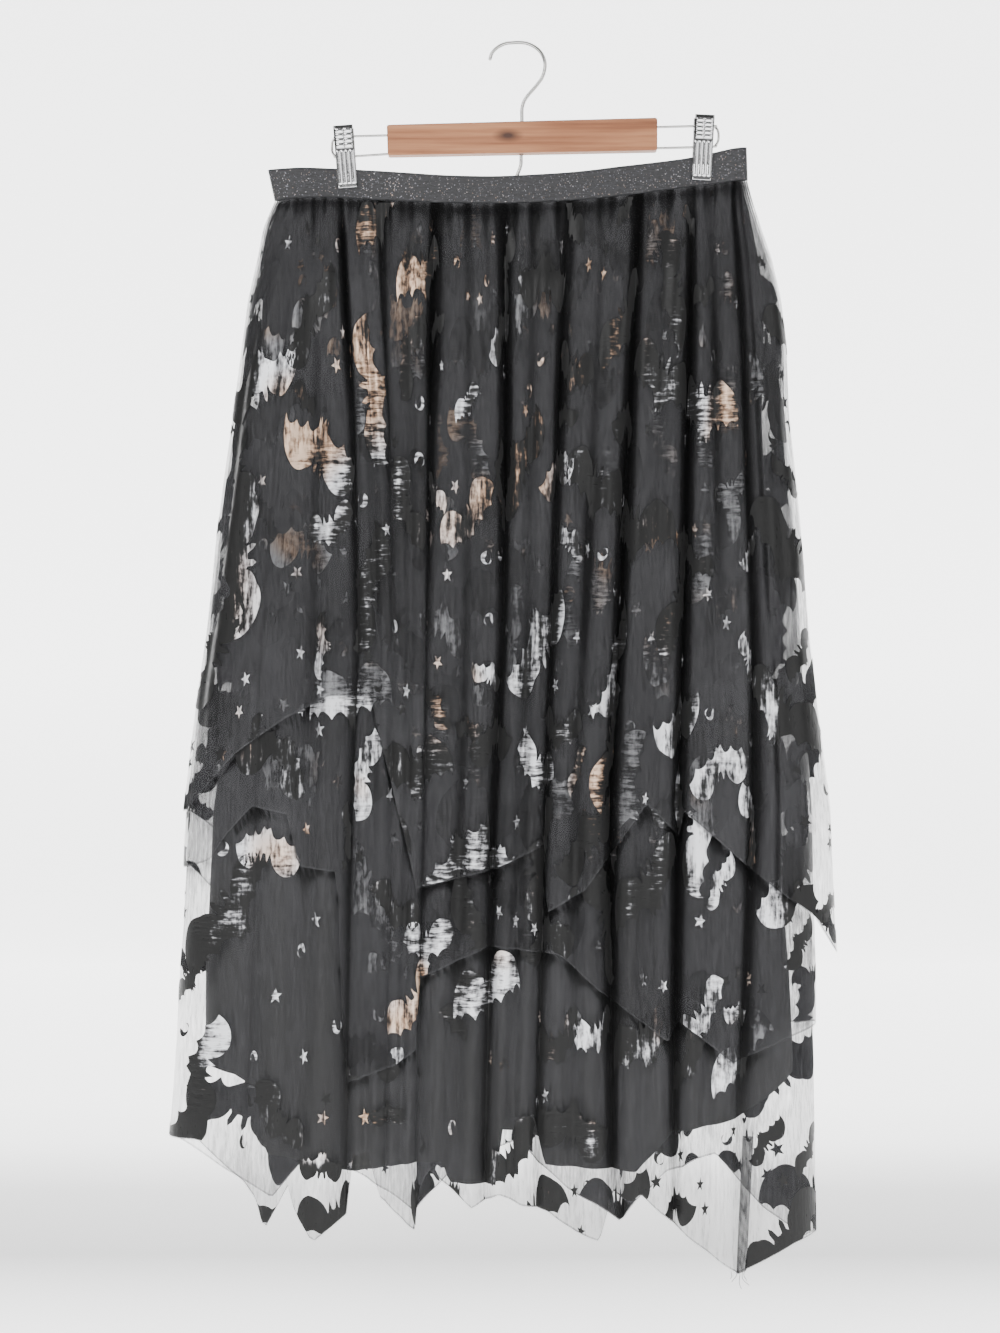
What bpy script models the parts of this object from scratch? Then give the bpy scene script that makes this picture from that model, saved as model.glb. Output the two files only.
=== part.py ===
import math

import bmesh
import bpy
import numpy as np

# Metres, +Z up, +X to the viewer's right, the front faces -Y.
# The origin is where a rail touches the inside of the hook's crook.
# Tables are in millimetres; "down" is the distance below the origin.

MM = 0.001
WALL_TOP = 1.2  # cloth wall at the waist
WALL_LOW = 1.8  # cloth wall from mid-skirt down
SEAM_GAP = 0.3  # between pieces that are sewn together
SIDE_GAP = 0.7  # between the tiers along the side seams
BAND_WALL = 2.0
BAND_END = 5.0  # reach of the band's rounded ends
BAND_CLEARANCE = 3.9  # how far the outermost tier starts outside the band's middle line
BAND_MIDDLE = 140.0  # down of the band's lower edge, about its middle value
PINCH_FALL = 70.0  # below the band, where the clips' pinch has faded
WALL_FALL = 200.0  # below the band, where the wall reaches its full thickness
FOLD_REACH = 0.34  # share of a panel over which a valley rises to the crest
FOLD_SLOPE = 0.3  # deepest a valley may be, as a share of the narrower panel beside it
SUB_VALLEY = 0.10  # depth of the soft crease in the middle of a panel, as a share of its width
SUB_WIDTH = 60.0  # widest panel that still deepens its soft crease
SUB_SPREAD = 0.13  # half width of the soft crease, as a share of the panel
FULL_FOLD = 14.0  # fold depth at which the soft creases are full
CROWN_DROP = 0.2  # how much shallower the section is where its rounded sides begin
CROWN_POWER = 2.2
SIDE_FLATNESS = 0.8  # share of the depth that the length round a side goes by

# Outline of the hanging skirt: down, left edge, right edge, how far inside the
# right edge the two lower tiers hang, how far inside each edge the lining hangs.
OUTLINE = np.array([
    (121, -220, 206, 0, 5, 5),
    (140, -220, 211, 0, 5, 5),
    (165, -231, 219, 0, 7, 8),
    (192, -236, 228, 0, 9, 12),
    (231, -245, 237, 0, 13, 16),
    (276, -251, 242, 0, 17, 21),
    (337, -258, 244, 2, 21, 25),
    (450, -274, 255, 4, 27, 33),
    (525, -282, 261, 5, 29, 38),
    (608, -293, 271, 10, 29, 43),
    (690, -303, 281, 15, 27, 46),
    (793, -307, 285, 16, 27, 45),
    (832, -310, 287, 17, 28, 44),
    (894, -314, 288, 18, 31, 42),
    (981, -321, 290, 18, 34, 42),
    (1130, -332, 292, 17, 40, 42),
], float)

# Depth: fall below the band, front, back, reach of the rounded sides, depth of the folds,
# step between neighbouring tiers, step between the lowest tier and the lining.
DEPTH = np.array([
    (0, 10, 10, 13, 2.4, 1.6, 1.6),
    (25, 20, 17, 22, 5.0, 1.8, 1.8),
    (80, 32, 27, 36, 9.0, 2.2, 2.6),
    (200, 47, 40, 50, 15.0, 2.8, 4.0),
    (400, 61, 52, 66, 18.5, 3.8, 5.5),
    (650, 72, 62, 84, 21.0, 5.2, 6.5),
    (900, 80, 69, 92, 22.5, 5.4, 7.0),
    (1150, 86, 74, 96, 23.5, 5.4, 7.0),
], float)

# Half depth of the band along its length, pinched where the clips hold it.
BAND_DEPTH = np.array([
    (-226, 3.6), (-200, 6.5), (-171, 3.4), (-140, 3.4), (-90, 10.5), (0, 13.0), (90, 10.5),
    (149, 3.4), (179, 3.4), (193, 6.0), (206, 3.6),
], float)

BAND_BOTTOM = np.array([
    (-220, 141.8), (-191, 138.4), (-165, 138.2), (-122, 141.6), (-71, 144.5), (-17, 145.6),
    (30, 143.6), (79, 140.0), (154, 128.9), (178, 126.4), (206, 121.6),
], float)
BAND_TOP = np.array([
    (-226, 114.0), (-199, 111.5), (-165, 112.6), (-144, 113.4), (-71, 120.0), (-17, 121.4),
    (51, 117.2), (120, 108.0), (154, 103.0), (177, 98.4), (190, 94.0), (205, 92.5),
], float)

# Fold valleys of the front: strength, then x at each level of FOLD_LEVELS.
FOLD_LEVELS = (147, 340, 540, 683, 983)
FRONT_VALLEYS = (
    (0.35, -196, -215, -230, -236, -247),
    (1.00, -160, -147, -142, -148, -153),
    (0.70, -126, -116, -111, -113, -118),
    (1.00, -76, -79, -82, -84, -91),
    (1.00, -13, -11, -14, -22, -30),
    (0.90, 43, 35, 28, 23, 15),
    (1.00, 108, 98, 88, 80, 82),
    (0.95, 155, 150, 145, 140, 136),
    (0.70, 193, 204, 211, 208, 192),
)
# The back is not in the picture; its folds are uneven in the same manner.
BACK_VALLEYS = (
    (0.40, -188, -198, -207, -210, -222),
    (0.95, -148, -149, -152, -156, -166),
    (0.80, -92, -87, -87, -94, -96),
    (1.00, -36, -41, -43, -40, -50),
    (0.85, 22, 27, 29, 26, 18),
    (1.00, 84, 80, 81, 88, 96),
    (0.75, 132, 137, 139, 137, 150),
    (0.50, 182, 190, 198, 202, 210),
)
FRONT_KNOTS = (0.0, 0.12, 0.30, 0.50, 0.72, 0.88)
BACK_KNOTS = (0.0, 0.15, 0.40, 0.62, 0.85)
LINING_FRONT_KNOTS = (0.0, 0.30, 0.50, 0.72)
LINING_BACK_KNOTS = (0.0, 0.40, 0.62)

# Hems as seen from the front: x, down. The first and last points lie on the side seams.
UPPER_FRONT = (
    (-300, 690), (-258, 639), (-210, 606), (-172, 586), (-134, 586), (-114, 660), (-89, 755),
    (-17, 737), (22, 717), (26, 776), (57, 757), (112, 681), (142, 711), (145, 688), (237, 764),
    (260, 781), (287, 832),
)
UPPER_BACK = (
    (-300, 690), (-236, 742), (-176, 700), (-120, 640), (-60, 612), (0, 668), (52, 744),
    (108, 690), (160, 640), (214, 690), (256, 770), (287, 832),
)
MIDDLE_FRONT = (
    (-304, 740), (-279, 732), (-265, 708), (-240, 684), (-208, 691), (-198, 737), (-162, 741),
    (-156, 866), (-151, 926), (-106, 909), (-90, 896), (-88, 834), (-28, 806), (35, 813),
    (70, 845), (131, 890), (141, 873), (193, 910), (239, 888), (273, 878),
)
MIDDLE_BACK = (
    (-304, 740), (-250, 800), (-196, 872), (-140, 846), (-84, 780), (-20, 820), (40, 892),
    (100, 846), (150, 796), (206, 838), (250, 886), (273, 878),
)
LOWER_FRONT = (
    (-321, 981), (-287, 979), (-273, 990), (-245, 1014), (-232, 1030), (-225, 1057),
    (-204, 1018), (-198, 1041), (-182, 1066), (-152, 1042), (-146, 990), (-134, 985),
    (-122, 1026), (-92, 1055), (-88, 1018), (-79, 1001), (-56, 1022), (-42, 1035), (-18, 1023),
    (1, 1032), (25, 1038), (50, 1056), (70, 1064), (83, 1022), (97, 1031), (106, 1024),
    (147, 1061), (193, 1097), (220, 1082), (243, 1071), (274, 1063),
)
LOWER_BACK = (
    (-321, 981), (-270, 1020), (-226, 1046), (-190, 1004), (-140, 1030), (-96, 1060),
    (-50, 1012), (0, 996), (44, 1040), (92, 1068), (136, 1024), (180, 1006), (224, 1056),
    (258, 1078), (274, 1063),
)
LINING_FRONT = (
    (-287, 915), (-236, 926), (-225, 990), (-153, 1005), (-94, 997), (-68, 995), (-62, 1014),
    (-21, 1016), (-14, 958), (12, 955), (22, 998), (103, 1005), (135, 972), (192, 961),
    (248, 920),
)
LINING_BACK = (
    (-287, 915), (-220, 960), (-120, 990), (-20, 984), (80, 996), (180, 970), (248, 920),
)

# Fall of the mesh rows below the band: levels that every layer shares.
LEVELS = (0, 25, 80, 200, 400, 540, 760)

BAR = ((-118.8, 73.8), (124.2, 67.4), (124.2, 96.7), (-117.9, 101.2))  # x, down of its corners
BAR_DEPTH = 14.0
BAR_ROUND = 2.2
BAR_EASE = 0.9  # chamfer along the front and back faces
HOOK_HOLE = ((2.9, 60.0), (1.7, 110.0))  # x, down of the ends of the drill for the hook
LOOP_HOLE = 12.0  # depth of the holes that the loops' ends sit in
HOOK_WIRE = 1.5  # radius
LOOP_WIRE = 1.05
HOLE_CLEARANCE = 0.35
HOLE_END = 0.5  # past the wire's end
HOOK_PATH = (  # x, down of the wire's middle, from the tip to the end below the bar
    (-26.1, 13.5), (-24.2, 8.0), (-19.6, 3.1), (-12.6, -0.4), (-4.5, -1.4), (0.0, -1.5),
    (6.3, -0.9), (13.5, 2.1), (19.4, 7.2), (22.8, 14.0), (23.4, 20.7), (21.0, 29.7),
    (15.3, 37.8), (9.0, 45.0), (4.6, 51.5), (2.7, 58.5), (2.6, 69.3), (2.0, 99.9),
    (1.6, 108.9), (-1.0, 116.5), (-4.4, 124.0), (-4.4, 131.0), (-0.4, 135.0), (4.2, 132.6),
)
LEFT_LOOP = (
    (-110.9, 81.9), (-160.6, 83.4), (-165.6, 84.9), (-168.0, 88.8), (-168.1, 96.3),
    (-165.7, 100.3), (-160.6, 101.6), (-110.9, 98.4),
)
RIGHT_LOOP = (
    (116.3, 74.9), (172.0, 73.6), (177.0, 75.2), (179.4, 79.2), (179.4, 86.4),
    (177.0, 90.8), (172.0, 92.3), (116.3, 93.8),
)
# Clips: x and down of the top middle and the bottom middle.
LEFT_CLIP = ((-158.1, 74.7), (-153.9, 130.0))
RIGHT_CLIP = ((166.8, 65.2), (163.9, 123.1))
CLIP_WIDTH = 17.4
CLIP_METAL = 1.1
CLIP_EDGE = 1.6  # width of the strip that is turned in along each side of a jaw
CLIP_TURN = 0.65  # how far it is turned in
# Profile of a jaw: share of its length from the top, distance of its inner face from the middle.
CLIP_PROFILE = (
    (0.0, 8.6), (0.06, 8.8), (0.22, 7.6), (0.44, 6.0), (0.62, 4.7), (0.76, 3.9), (0.93, 3.75),
    (1.0, 4.5),
)
SPRING_LENGTH = 10.0
SPRING_SHIFT = 1.3  # from the clip's middle towards the bar
SPRING_SEAT = 0.36  # between the spring and the jaws


def clear_scene():
    for o in list(bpy.data.objects):
        bpy.data.objects.remove(o, do_unlink=True)


def material(name, colour, rough, metal=0.0):
    mat = bpy.data.materials.new(name)
    mat.use_nodes = True
    shader = next(n for n in mat.node_tree.nodes if n.type == "BSDF_PRINCIPLED")
    shader.inputs["Base Color"].default_value = (*colour, 1.0)
    shader.inputs["Roughness"].default_value = rough
    shader.inputs["Metallic"].default_value = metal
    return mat


def add_node(name, points, faces, mat):
    """Makes one named object from points in millimetres."""
    mesh = bpy.data.meshes.new(name)
    mesh.from_pydata([tuple(float(c) * MM for c in p) for p in points], [], faces)
    mesh.validate()
    bm = bmesh.new()
    bm.from_mesh(mesh)
    bmesh.ops.recalc_face_normals(bm, faces=bm.faces)
    if bm.calc_volume(signed=True) < 0:
        bmesh.ops.reverse_faces(bm, faces=bm.faces)
    bm.to_mesh(mesh)
    bm.free()
    for p in mesh.polygons:
        p.use_smooth = True
    mesh.materials.append(mat)
    obj = bpy.data.objects.new(name, mesh)
    bpy.context.scene.collection.objects.link(obj)
    return obj


def column(table, index, at):
    return float(np.interp(at, table[:, 0], table[:, index]))


class Section:
    """The level section of the skirt at one height: a straight middle with rounded sides."""

    def __init__(self, down, fall, side):
        self.side, self.down, self.fall = side, down, fall
        left, right = column(OUTLINE, 1, down), column(OUTLINE, 2, down)
        self.cap = column(DEPTH, 3, fall)
        self.depth = column(DEPTH, 1 if side < 0 else 2, fall)
        self.pinch = max(0.0, 1.0 - fall / PINCH_FALL)
        self.foot_left, self.foot_right = left + self.cap, right - self.cap
        reach = math.hypot(self.cap, SIDE_FLATNESS * self.depth)
        self.arc = math.pi / 2 * reach / math.sqrt(2)
        self.total = 2 * self.arc + self.foot_right - self.foot_left
        self.folds = column(DEPTH, 4, fall)

    def along(self, x):
        """Distance from the left seam, round the section, of the point at x."""
        if x < self.foot_left:
            turn = math.asin(min(1.0, (self.foot_left - x) / self.cap))
            return self.arc * (1 - turn / (math.pi / 2))
        if x > self.foot_right:
            turn = math.asin(min(1.0, (x - self.foot_right) / self.cap))
            return self.total - self.arc * (1 - turn / (math.pi / 2))
        return self.arc + x - self.foot_left

    def ray(self, s):
        """Foot, direction and length of the ray to the section at distance s, and how far
        round a side it is, from 0 to 1, with -1 or 1 for the side."""
        if s < self.arc or s > self.total - self.arc:
            end = -1 if s < self.arc else 1
            rest = s if end < 0 else self.total - s
            turn = math.pi / 2 * (1 - max(0.0, rest) / self.arc)
            foot = self.foot_left if end < 0 else self.foot_right
            depth = self.crowned(foot)
            vx, vy = self.cap * math.sin(turn) * end, depth * math.cos(turn)
            length = math.hypot(vx, vy)
            return foot, vx / length, vy / length, length, math.sin(turn) ** 2, end
        x = self.foot_left + s - self.arc
        return x, 0.0, 1.0, self.crowned(x), 0.0, 0

    def crowned(self, x):
        """Depth of the straight middle, fullest at its centre and pinched at the clips."""
        middle = (self.foot_left + self.foot_right) / 2
        half = (self.foot_right - self.foot_left) / 2
        crown = 1 - CROWN_DROP * min(1.0, abs(x - middle) / half) ** CROWN_POWER
        low = self.depth * crown
        band = column(BAND_DEPTH, 1, x) + BAND_CLEARANCE
        return band * self.pinch + low * (1 - self.pinch)


def valleys_at(table, section, down):
    """Distance round the section and strength of each valley, the side seams included."""
    rows = [(0.0, 0.0)]
    for row in table:
        x = float(np.interp(down, FOLD_LEVELS, row[1:]))
        rows.append((section.along(x), row[0]))
    return rows + [(section.total, 0.0)]


def room_at(section, s):
    """How deep a fold may go at s before the lining meets the skirt's middle plane."""
    _, _, _, length, share, end = section.ray(s)
    taken = layer_inset(3, section.fall, section.down, share, end) + wall_at(section.fall)
    return max(0.0, length - taken - SEAM_GAP)


def fold_depth(section, rows, panel, p):
    """How far the cloth falls inside the smooth section at share p of a panel."""

    def valley(index):
        beside = [rows[i + 1][0] - rows[i][0] for i in (index - 1, index) if 0 <= i < len(rows) - 1]
        deep = rows[index][1] * min(section.folds, FOLD_SLOPE * min(beside))
        return min(deep, room_at(section, rows[index][0]))

    width = rows[panel + 1][0] - rows[panel][0]
    rise0 = max(0.0, 1 - p / FOLD_REACH) ** 2
    rise1 = max(0.0, 1 - (1 - p) / FOLD_REACH) ** 2
    seam_panel = panel in (0, len(rows) - 2)
    share = 0.0 if seam_panel else min(1.0, section.folds / FULL_FOLD)
    near = math.exp(-(((p - 0.5) / SUB_SPREAD) ** 2))
    soft = share * SUB_VALLEY * min(width, SUB_WIDTH) * near
    soft = min(soft, room_at(section, rows[panel][0] + p * width))
    return valley(panel) * rise0 + valley(panel + 1) * rise1 + soft


def band_edge(table, x):
    """Down of a band edge at x, the table's corners eased."""
    near = [np.interp(x + shift, table[:, 0], table[:, 1]) for shift in (-18, -9, 0, 9, 18)]
    return float(np.mean(near))


def top_of(x):
    return band_edge(BAND_BOTTOM, x) + 1.5 * SEAM_GAP


def layer_inset(layer, fall, down, side_share, end):
    """How far a layer hangs inside the outermost one: 0 upper, 1 middle, 2 lower, 3 lining."""
    step, last = column(DEPTH, 5, fall), column(DEPTH, 6, fall)
    front = step * min(layer, 2) + (last if layer == 3 else 0.0)
    if end == 0 or layer == 0:
        return front
    side = min(layer, 2) * (wall_at(fall) + SIDE_GAP)
    if end > 0:
        side += column(OUTLINE, 3, down)
    if layer == 3:
        side = max(column(OUTLINE, 4 if end < 0 else 5, down), side + wall_at(fall) + SIDE_GAP)
    return front + (side - front) * side_share


def wall_at(fall):
    return WALL_TOP + (WALL_LOW - WALL_TOP) * min(1.0, fall / WALL_FALL)


def cloth_point(layer, side, table, panel, p, down, fall, inward):
    section = Section(down, fall, side)
    rows = valleys_at(table, section, down)
    s = rows[panel][0] + p * (rows[panel + 1][0] - rows[panel][0])
    foot, dx, dy, length, share, end = section.ray(s)
    length -= fold_depth(section, rows, panel, p)
    length -= layer_inset(layer, fall, down, share, end) + inward
    return foot + dx * length, side * (dy * length + SEAM_GAP / 2), -down


def hem_rows(top, hem, shared, extra):
    """Heights of the rows of one column: the shared levels, then on to the hem. The first row
    after them keeps to the next level where the hem is well below it."""
    rows = [top + f for f in LEVELS[:shared]]
    if extra > 1 and hem > top + LEVELS[shared] + 8:
        rows.append(top + LEVELS[shared])
        extra -= 1
    last = rows[-1]
    return rows + [last + (hem - last) * k / extra for k in range(1, extra + 1)]


def cloth_columns(table, knots):
    cols = [(i, p) for i in range(len(table) + 1) for p in knots]
    return cols + [(len(table), 1.0)]


def panel_solid(name, layer, side, table, knots, hem, nominal, shared, extra, mat):
    """One cloth panel as a closed wall between its outer and inner grids."""
    cols = cloth_columns(table, knots)
    hem_x, hem_down = zip(*hem)
    outer, inner = [], []
    for panel, p in cols:
        fall = nominal - BAND_MIDDLE
        x_hem = cloth_point(layer, side, table, panel, p, nominal, fall, 0.0)[0]
        top = BAND_MIDDLE
        for _ in range(4):
            top = top_of(cloth_point(layer, side, table, panel, p, top, 0.0, 0.0)[0])
        low = float(np.interp(x_hem, hem_x, hem_down))
        downs = hem_rows(top, low, shared, extra)
        outer.append([cloth_point(layer, side, table, panel, p, d, d - top, 0.0) for d in downs])
        inner.append([
            cloth_point(layer, side, table, panel, p, d, d - top, wall_at(d - top)) for d in downs
        ])
    return grid_solid(name, outer, inner, mat)


def grid_solid(name, outer, inner, mat):
    """Joins two grids of points, column by column, into one closed wall of triangles."""
    n, m = len(outer), len(outer[0])
    points = [p for col in outer for p in col] + [p for col in inner for p in col]
    shift = n * m
    faces = []
    for i in range(n - 1):
        for j in range(m - 1):
            a, b, c, d = i * m + j, (i + 1) * m + j, (i + 1) * m + j + 1, i * m + j + 1
            faces += [(a, b, c), (a, c, d)]
            faces += [(shift + a, shift + c, shift + b), (shift + a, shift + d, shift + c)]
    edge = [i * m for i in range(n)] + [(n - 1) * m + j for j in range(1, m)]
    edge += [i * m + m - 1 for i in range(n - 2, -1, -1)] + [j for j in range(m - 2, 0, -1)]
    for k, a in enumerate(edge):
        b = edge[(k + 1) % len(edge)]
        faces += [(a, shift + a, b), (b, shift + a, shift + b)]
    return add_node(name, points, faces, mat)


def band_ring(inward, stations):
    """Points round the band's section, at its top and bottom edges."""
    ring = []
    for side, x_share in stations:
        ends = []
        for table in (BAND_TOP, BAND_BOTTOM):
            left, right = table[0, 0] + inward, table[-1, 0] - inward
            x = left + (right - left) * x_share
            depth = float(np.interp(x, BAND_DEPTH[:, 0], BAND_DEPTH[:, 1]))
            reach = min(x - left, right - x)
            rounded = math.sqrt(max(0.0, 1 - (1 - min(1.0, reach / BAND_END)) ** 2))
            y = side * (depth - inward) * rounded
            ends.append((x, y, -band_edge(table, x)))
        ring.append(ends)
    return ring


def waistband(mat):
    ends = [0.0, 0.003, 0.008, 0.02]  # close together where the band's ends are rounded
    at_clips = [0.125, 0.145, 0.175, 0.86, 0.885, 0.905, 0.93]
    between = [0.06 + 0.067 * k for k in range(14)]
    shares = sorted(ends + [1 - e for e in ends] + at_clips + between)
    stations = [(-1, s) for s in shares] + [(1, s) for s in reversed(shares[1:-1])]
    outer, inner = band_ring(0.0, stations), band_ring(BAND_WALL, stations)
    n = len(stations)
    points = [p for pair in outer for p in pair] + [p for pair in inner for p in pair]
    faces = []
    for k in range(n):
        a, b = 2 * k, 2 * ((k + 1) % n)
        c, d = a + 2 * n, b + 2 * n
        faces += [(a, b, b + 1, a + 1), (c, c + 1, d + 1, d), (a, c, d, b),
                  (a + 1, b + 1, d + 1, c + 1)]
    return add_node("waistband", points, faces, mat)


def tube(name, path, radius, sides, mat):
    """A round wire along a path in the hanger's plane, given as x and down."""
    pts = np.array([(x, -d) for x, d in path])
    rings, faces = [], []
    for k, (x, z) in enumerate(pts):
        before = pts[k] - pts[k - 1] if k else pts[1] - pts[0]
        after = pts[k + 1] - pts[k] if k < len(pts) - 1 else before
        before, after = before / np.linalg.norm(before), after / np.linalg.norm(after)
        along = (before + after) / np.linalg.norm(before + after)
        across = np.array((-along[1], along[0]))
        spread = 1 / max(0.6, float(along @ after))
        for s in range(sides):
            turn = 2 * math.pi * s / sides
            off = across * radius * math.cos(turn) * spread
            rings.append((x + off[0], radius * math.sin(turn), z + off[1]))
    for k in range(len(pts) - 1):
        for s in range(sides):
            a, b = k * sides + s, k * sides + (s + 1) % sides
            faces.append((a, b, b + sides, a + sides))
    last = (len(pts) - 1) * sides
    faces += [tuple(reversed(range(sides))), tuple(last + s for s in range(sides))]
    return add_node(name, rings, faces, mat)


def smooth_path(path, count):
    """The same path with rounded bends, through more points."""
    pts = np.array(path, float)
    along = np.concatenate([[0], np.cumsum(np.linalg.norm(np.diff(pts, axis=0), axis=1))])
    out = []
    for k in range(len(pts) - 1):
        p0, p1 = pts[max(k - 1, 0)], pts[k]
        p2, p3 = pts[k + 1], pts[min(k + 2, len(pts) - 1)]
        steps = max(1, round(count * (along[k + 1] - along[k]) / along[-1]))
        for j in range(steps):
            t = j / steps
            out.append(tuple(0.5 * (2 * p1 + (p2 - p0) * t + (2 * p0 - 5 * p1 + 4 * p2 - p3) * t * t
                                    + (3 * p1 - p0 - 3 * p2 + p3) * t ** 3)))
    return out + [tuple(pts[-1])]


def rounded_outline(corners, radius, steps):
    """The outline of a four-sided board with rounded corners."""
    out = []
    for k in range(4):
        here, before, after = (np.array(corners[j % 4]) for j in (k, k - 1, k + 1))
        u = (before - here) / np.linalg.norm(before - here)
        v = (after - here) / np.linalg.norm(after - here)
        for j in range(steps + 1):
            t = j / steps
            out.append(here + u * radius * (1 - t) ** 2 + v * radius * t ** 2)
    return out


def bar(mat):
    """The wooden bar with eased edges, drilled for the hook and for the loops' ends."""
    corners = [(x, -d) for x, d in BAR]
    middle = np.mean(np.array(corners), axis=0)
    half = BAR_DEPTH / 2
    points, faces = [], []
    eased = half - BAR_EASE
    layers = ((-half, BAR_EASE), (-eased, 0.0), (eased, 0.0), (half, BAR_EASE))
    for y, inset in layers:
        for x, z in rounded_outline(corners, BAR_ROUND, 3):
            toward = np.sign(middle - np.array((x, z)))
            points.append((x + toward[0] * inset, y, z + toward[1] * inset))
    n = len(points) // len(layers)
    for k in range(len(layers) - 1):
        for j in range(n):
            a, b = k * n + j, k * n + (j + 1) % n
            faces.append((a, b, b + n, a + n))
    faces += [tuple(reversed(range(n))), tuple((len(layers) - 1) * n + j for j in range(n))]
    wood = add_node("hanger_bar", points, faces, mat)
    hole = HOOK_WIRE + HOLE_CLEARANCE
    drills = [tube("drill", HOOK_HOLE, hole, 12, mat)]
    small = LOOP_WIRE + HOLE_CLEARANCE
    for loop, out in ((LEFT_LOOP, -1), (RIGHT_LOOP, 1)):
        for end, turn in ((loop[0], loop[1]), (loop[-1], loop[-2])):
            slope = (turn[1] - end[1]) / (turn[0] - end[0])
            inner = (end[0] - out * HOLE_END, end[1] - out * HOLE_END * slope)
            outer = (end[0] + out * LOOP_HOLE, end[1] + out * LOOP_HOLE * slope)
            drills.append(tube("drill", (inner, outer), small, 10, mat))
    for drill in drills:
        cut = wood.modifiers.new("hole", "BOOLEAN")
        cut.operation = "DIFFERENCE"
        cut.solver = "EXACT"
        cut.object = drill
    graph = bpy.context.evaluated_depsgraph_get()
    mesh = bpy.data.meshes.new_from_object(wood.evaluated_get(graph))
    wood.modifiers.clear()
    wood.data = mesh
    for drill in drills:
        bpy.data.objects.remove(drill, do_unlink=True)
    return wood


def jaw(name, ends, side, mat):
    """One sheet-metal jaw of a clip, bent to its profile, with its sides turned in a little."""
    (x0, d0), (x1, d1) = ends
    along = np.array((x1 - x0, -(d1 - d0)))
    across = np.array((-along[1], along[0])) / np.linalg.norm(along)
    half = CLIP_WIDTH / 2
    flat = half - CLIP_EDGE
    outline = ((-half, CLIP_TURN), (-flat, 0.0), (flat, 0.0), (half, CLIP_TURN))
    points, faces = [], []
    for share, inside in CLIP_PROFILE:
        centre = np.array((x0, -d0)) + along * share
        for thick in (0.0, CLIP_METAL):
            for off, turned in outline:
                x, z = centre + across * off
                y = inside + (thick - turned if thick else 0.0)
                points.append((x, side * y, z))
    m, rows = 2 * len(outline), len(CLIP_PROFILE)
    loop = [0, 1, 2, 3, 7, 6, 5, 4]
    for r in range(rows - 1):
        for k in range(m):
            a, b = r * m + loop[k], r * m + loop[(k + 1) % m]
            faces.append((a, b, b + m, a + m))
    faces += [tuple(loop), tuple((rows - 1) * m + k for k in reversed(loop))]
    return add_node(name, points, faces, mat)


def spring(name, start, end, ends, mat):
    """The spring barrel round the loop's lower wire, from jaw to jaw."""
    start, end = np.array((start[0], -start[1])), np.array((end[0], -end[1]))
    along = (end - start) / np.linalg.norm(end - start)
    across = np.array((-along[1], along[0]))
    clip_x = (ends[0][0] + ends[1][0]) / 2
    middle = start + along * (clip_x + SPRING_SHIFT * np.sign(-clip_x) - start[0]) / along[0]
    share = (-middle[1] - ends[0][1]) / (ends[1][1] - ends[0][1])
    shares, insides = zip(*CLIP_PROFILE)
    outer = float(np.interp(share, shares, insides)) - SPRING_SEAT
    points, faces, sides = [], [], 14
    for radius, half in ((outer, -1), (outer, 1), (LOOP_WIRE + HOLE_CLEARANCE, 1),
                         (LOOP_WIRE + HOLE_CLEARANCE, -1)):
        for k in range(sides):
            turn = 2 * math.pi * k / sides
            at = middle + along * half * SPRING_LENGTH / 2 + across * radius * math.cos(turn)
            points.append((at[0], radius * math.sin(turn), at[1]))
    for ring in range(4):
        for k in range(sides):
            a, b = ring * sides + k, ring * sides + (k + 1) % sides
            c, d = (ring + 1) % 4 * sides + k, (ring + 1) % 4 * sides + (k + 1) % sides
            faces.append((a, b, d, c))
    return add_node(name, points, faces, mat)


def build_cloth():
    net = {
        0: material("tulle_upper", (0.030, 0.030, 0.032), 0.75),
        1: material("tulle_middle", (0.027, 0.027, 0.029), 0.75),
        2: material("tulle_lower", (0.034, 0.034, 0.036), 0.75),
        3: material("lining_cloth", (0.018, 0.018, 0.020), 0.6),
    }
    tiers = (
        ("upper_tier", 0, UPPER_FRONT, UPPER_BACK, 700.0, 5, 2),
        ("middle_tier", 1, MIDDLE_FRONT, MIDDLE_BACK, 840.0, 6, 2),
        ("lower_tier", 2, LOWER_FRONT, LOWER_BACK, 1030.0, 7, 1),
    )
    for name, layer, front, back, nominal, shared, extra in tiers:
        panel_solid(name + "_front", layer, -1, FRONT_VALLEYS, FRONT_KNOTS, front, nominal,
                    shared, extra, net[layer])
        panel_solid(name + "_back", layer, 1, BACK_VALLEYS, BACK_KNOTS, back, nominal,
                    shared, extra, net[layer])
    panel_solid("lining_front", 3, -1, FRONT_VALLEYS, LINING_FRONT_KNOTS, LINING_FRONT, 980.0,
                7, 1, net[3])
    panel_solid("lining_back", 3, 1, BACK_VALLEYS, LINING_BACK_KNOTS, LINING_BACK, 980.0,
                7, 1, net[3])


def build_hanger():
    steel = material("hook_steel", (0.72, 0.72, 0.71), 0.25, 1.0)
    chrome = material("clip_chrome", (0.80, 0.80, 0.81), 0.2, 1.0)
    bar(material("bar_wood", (0.42, 0.20, 0.10), 0.5))
    tube("hanger_hook", smooth_path(HOOK_PATH, 44), HOOK_WIRE, 8, steel)
    for side, loop, clip in (("left", LEFT_LOOP, LEFT_CLIP), ("right", RIGHT_LOOP, RIGHT_CLIP)):
        tube("clip_loop_" + side, loop, LOOP_WIRE, 8, steel)
        jaw("clip_front_" + side, clip, -1, chrome)
        jaw("clip_back_" + side, clip, 1, chrome)
        spring("clip_spring_" + side, loop[-1], loop[-2], clip, steel)


clear_scene()
waistband(material("band_elastic", (0.035, 0.035, 0.037), 0.6))
build_cloth()
build_hanger()
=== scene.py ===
import math

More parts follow.
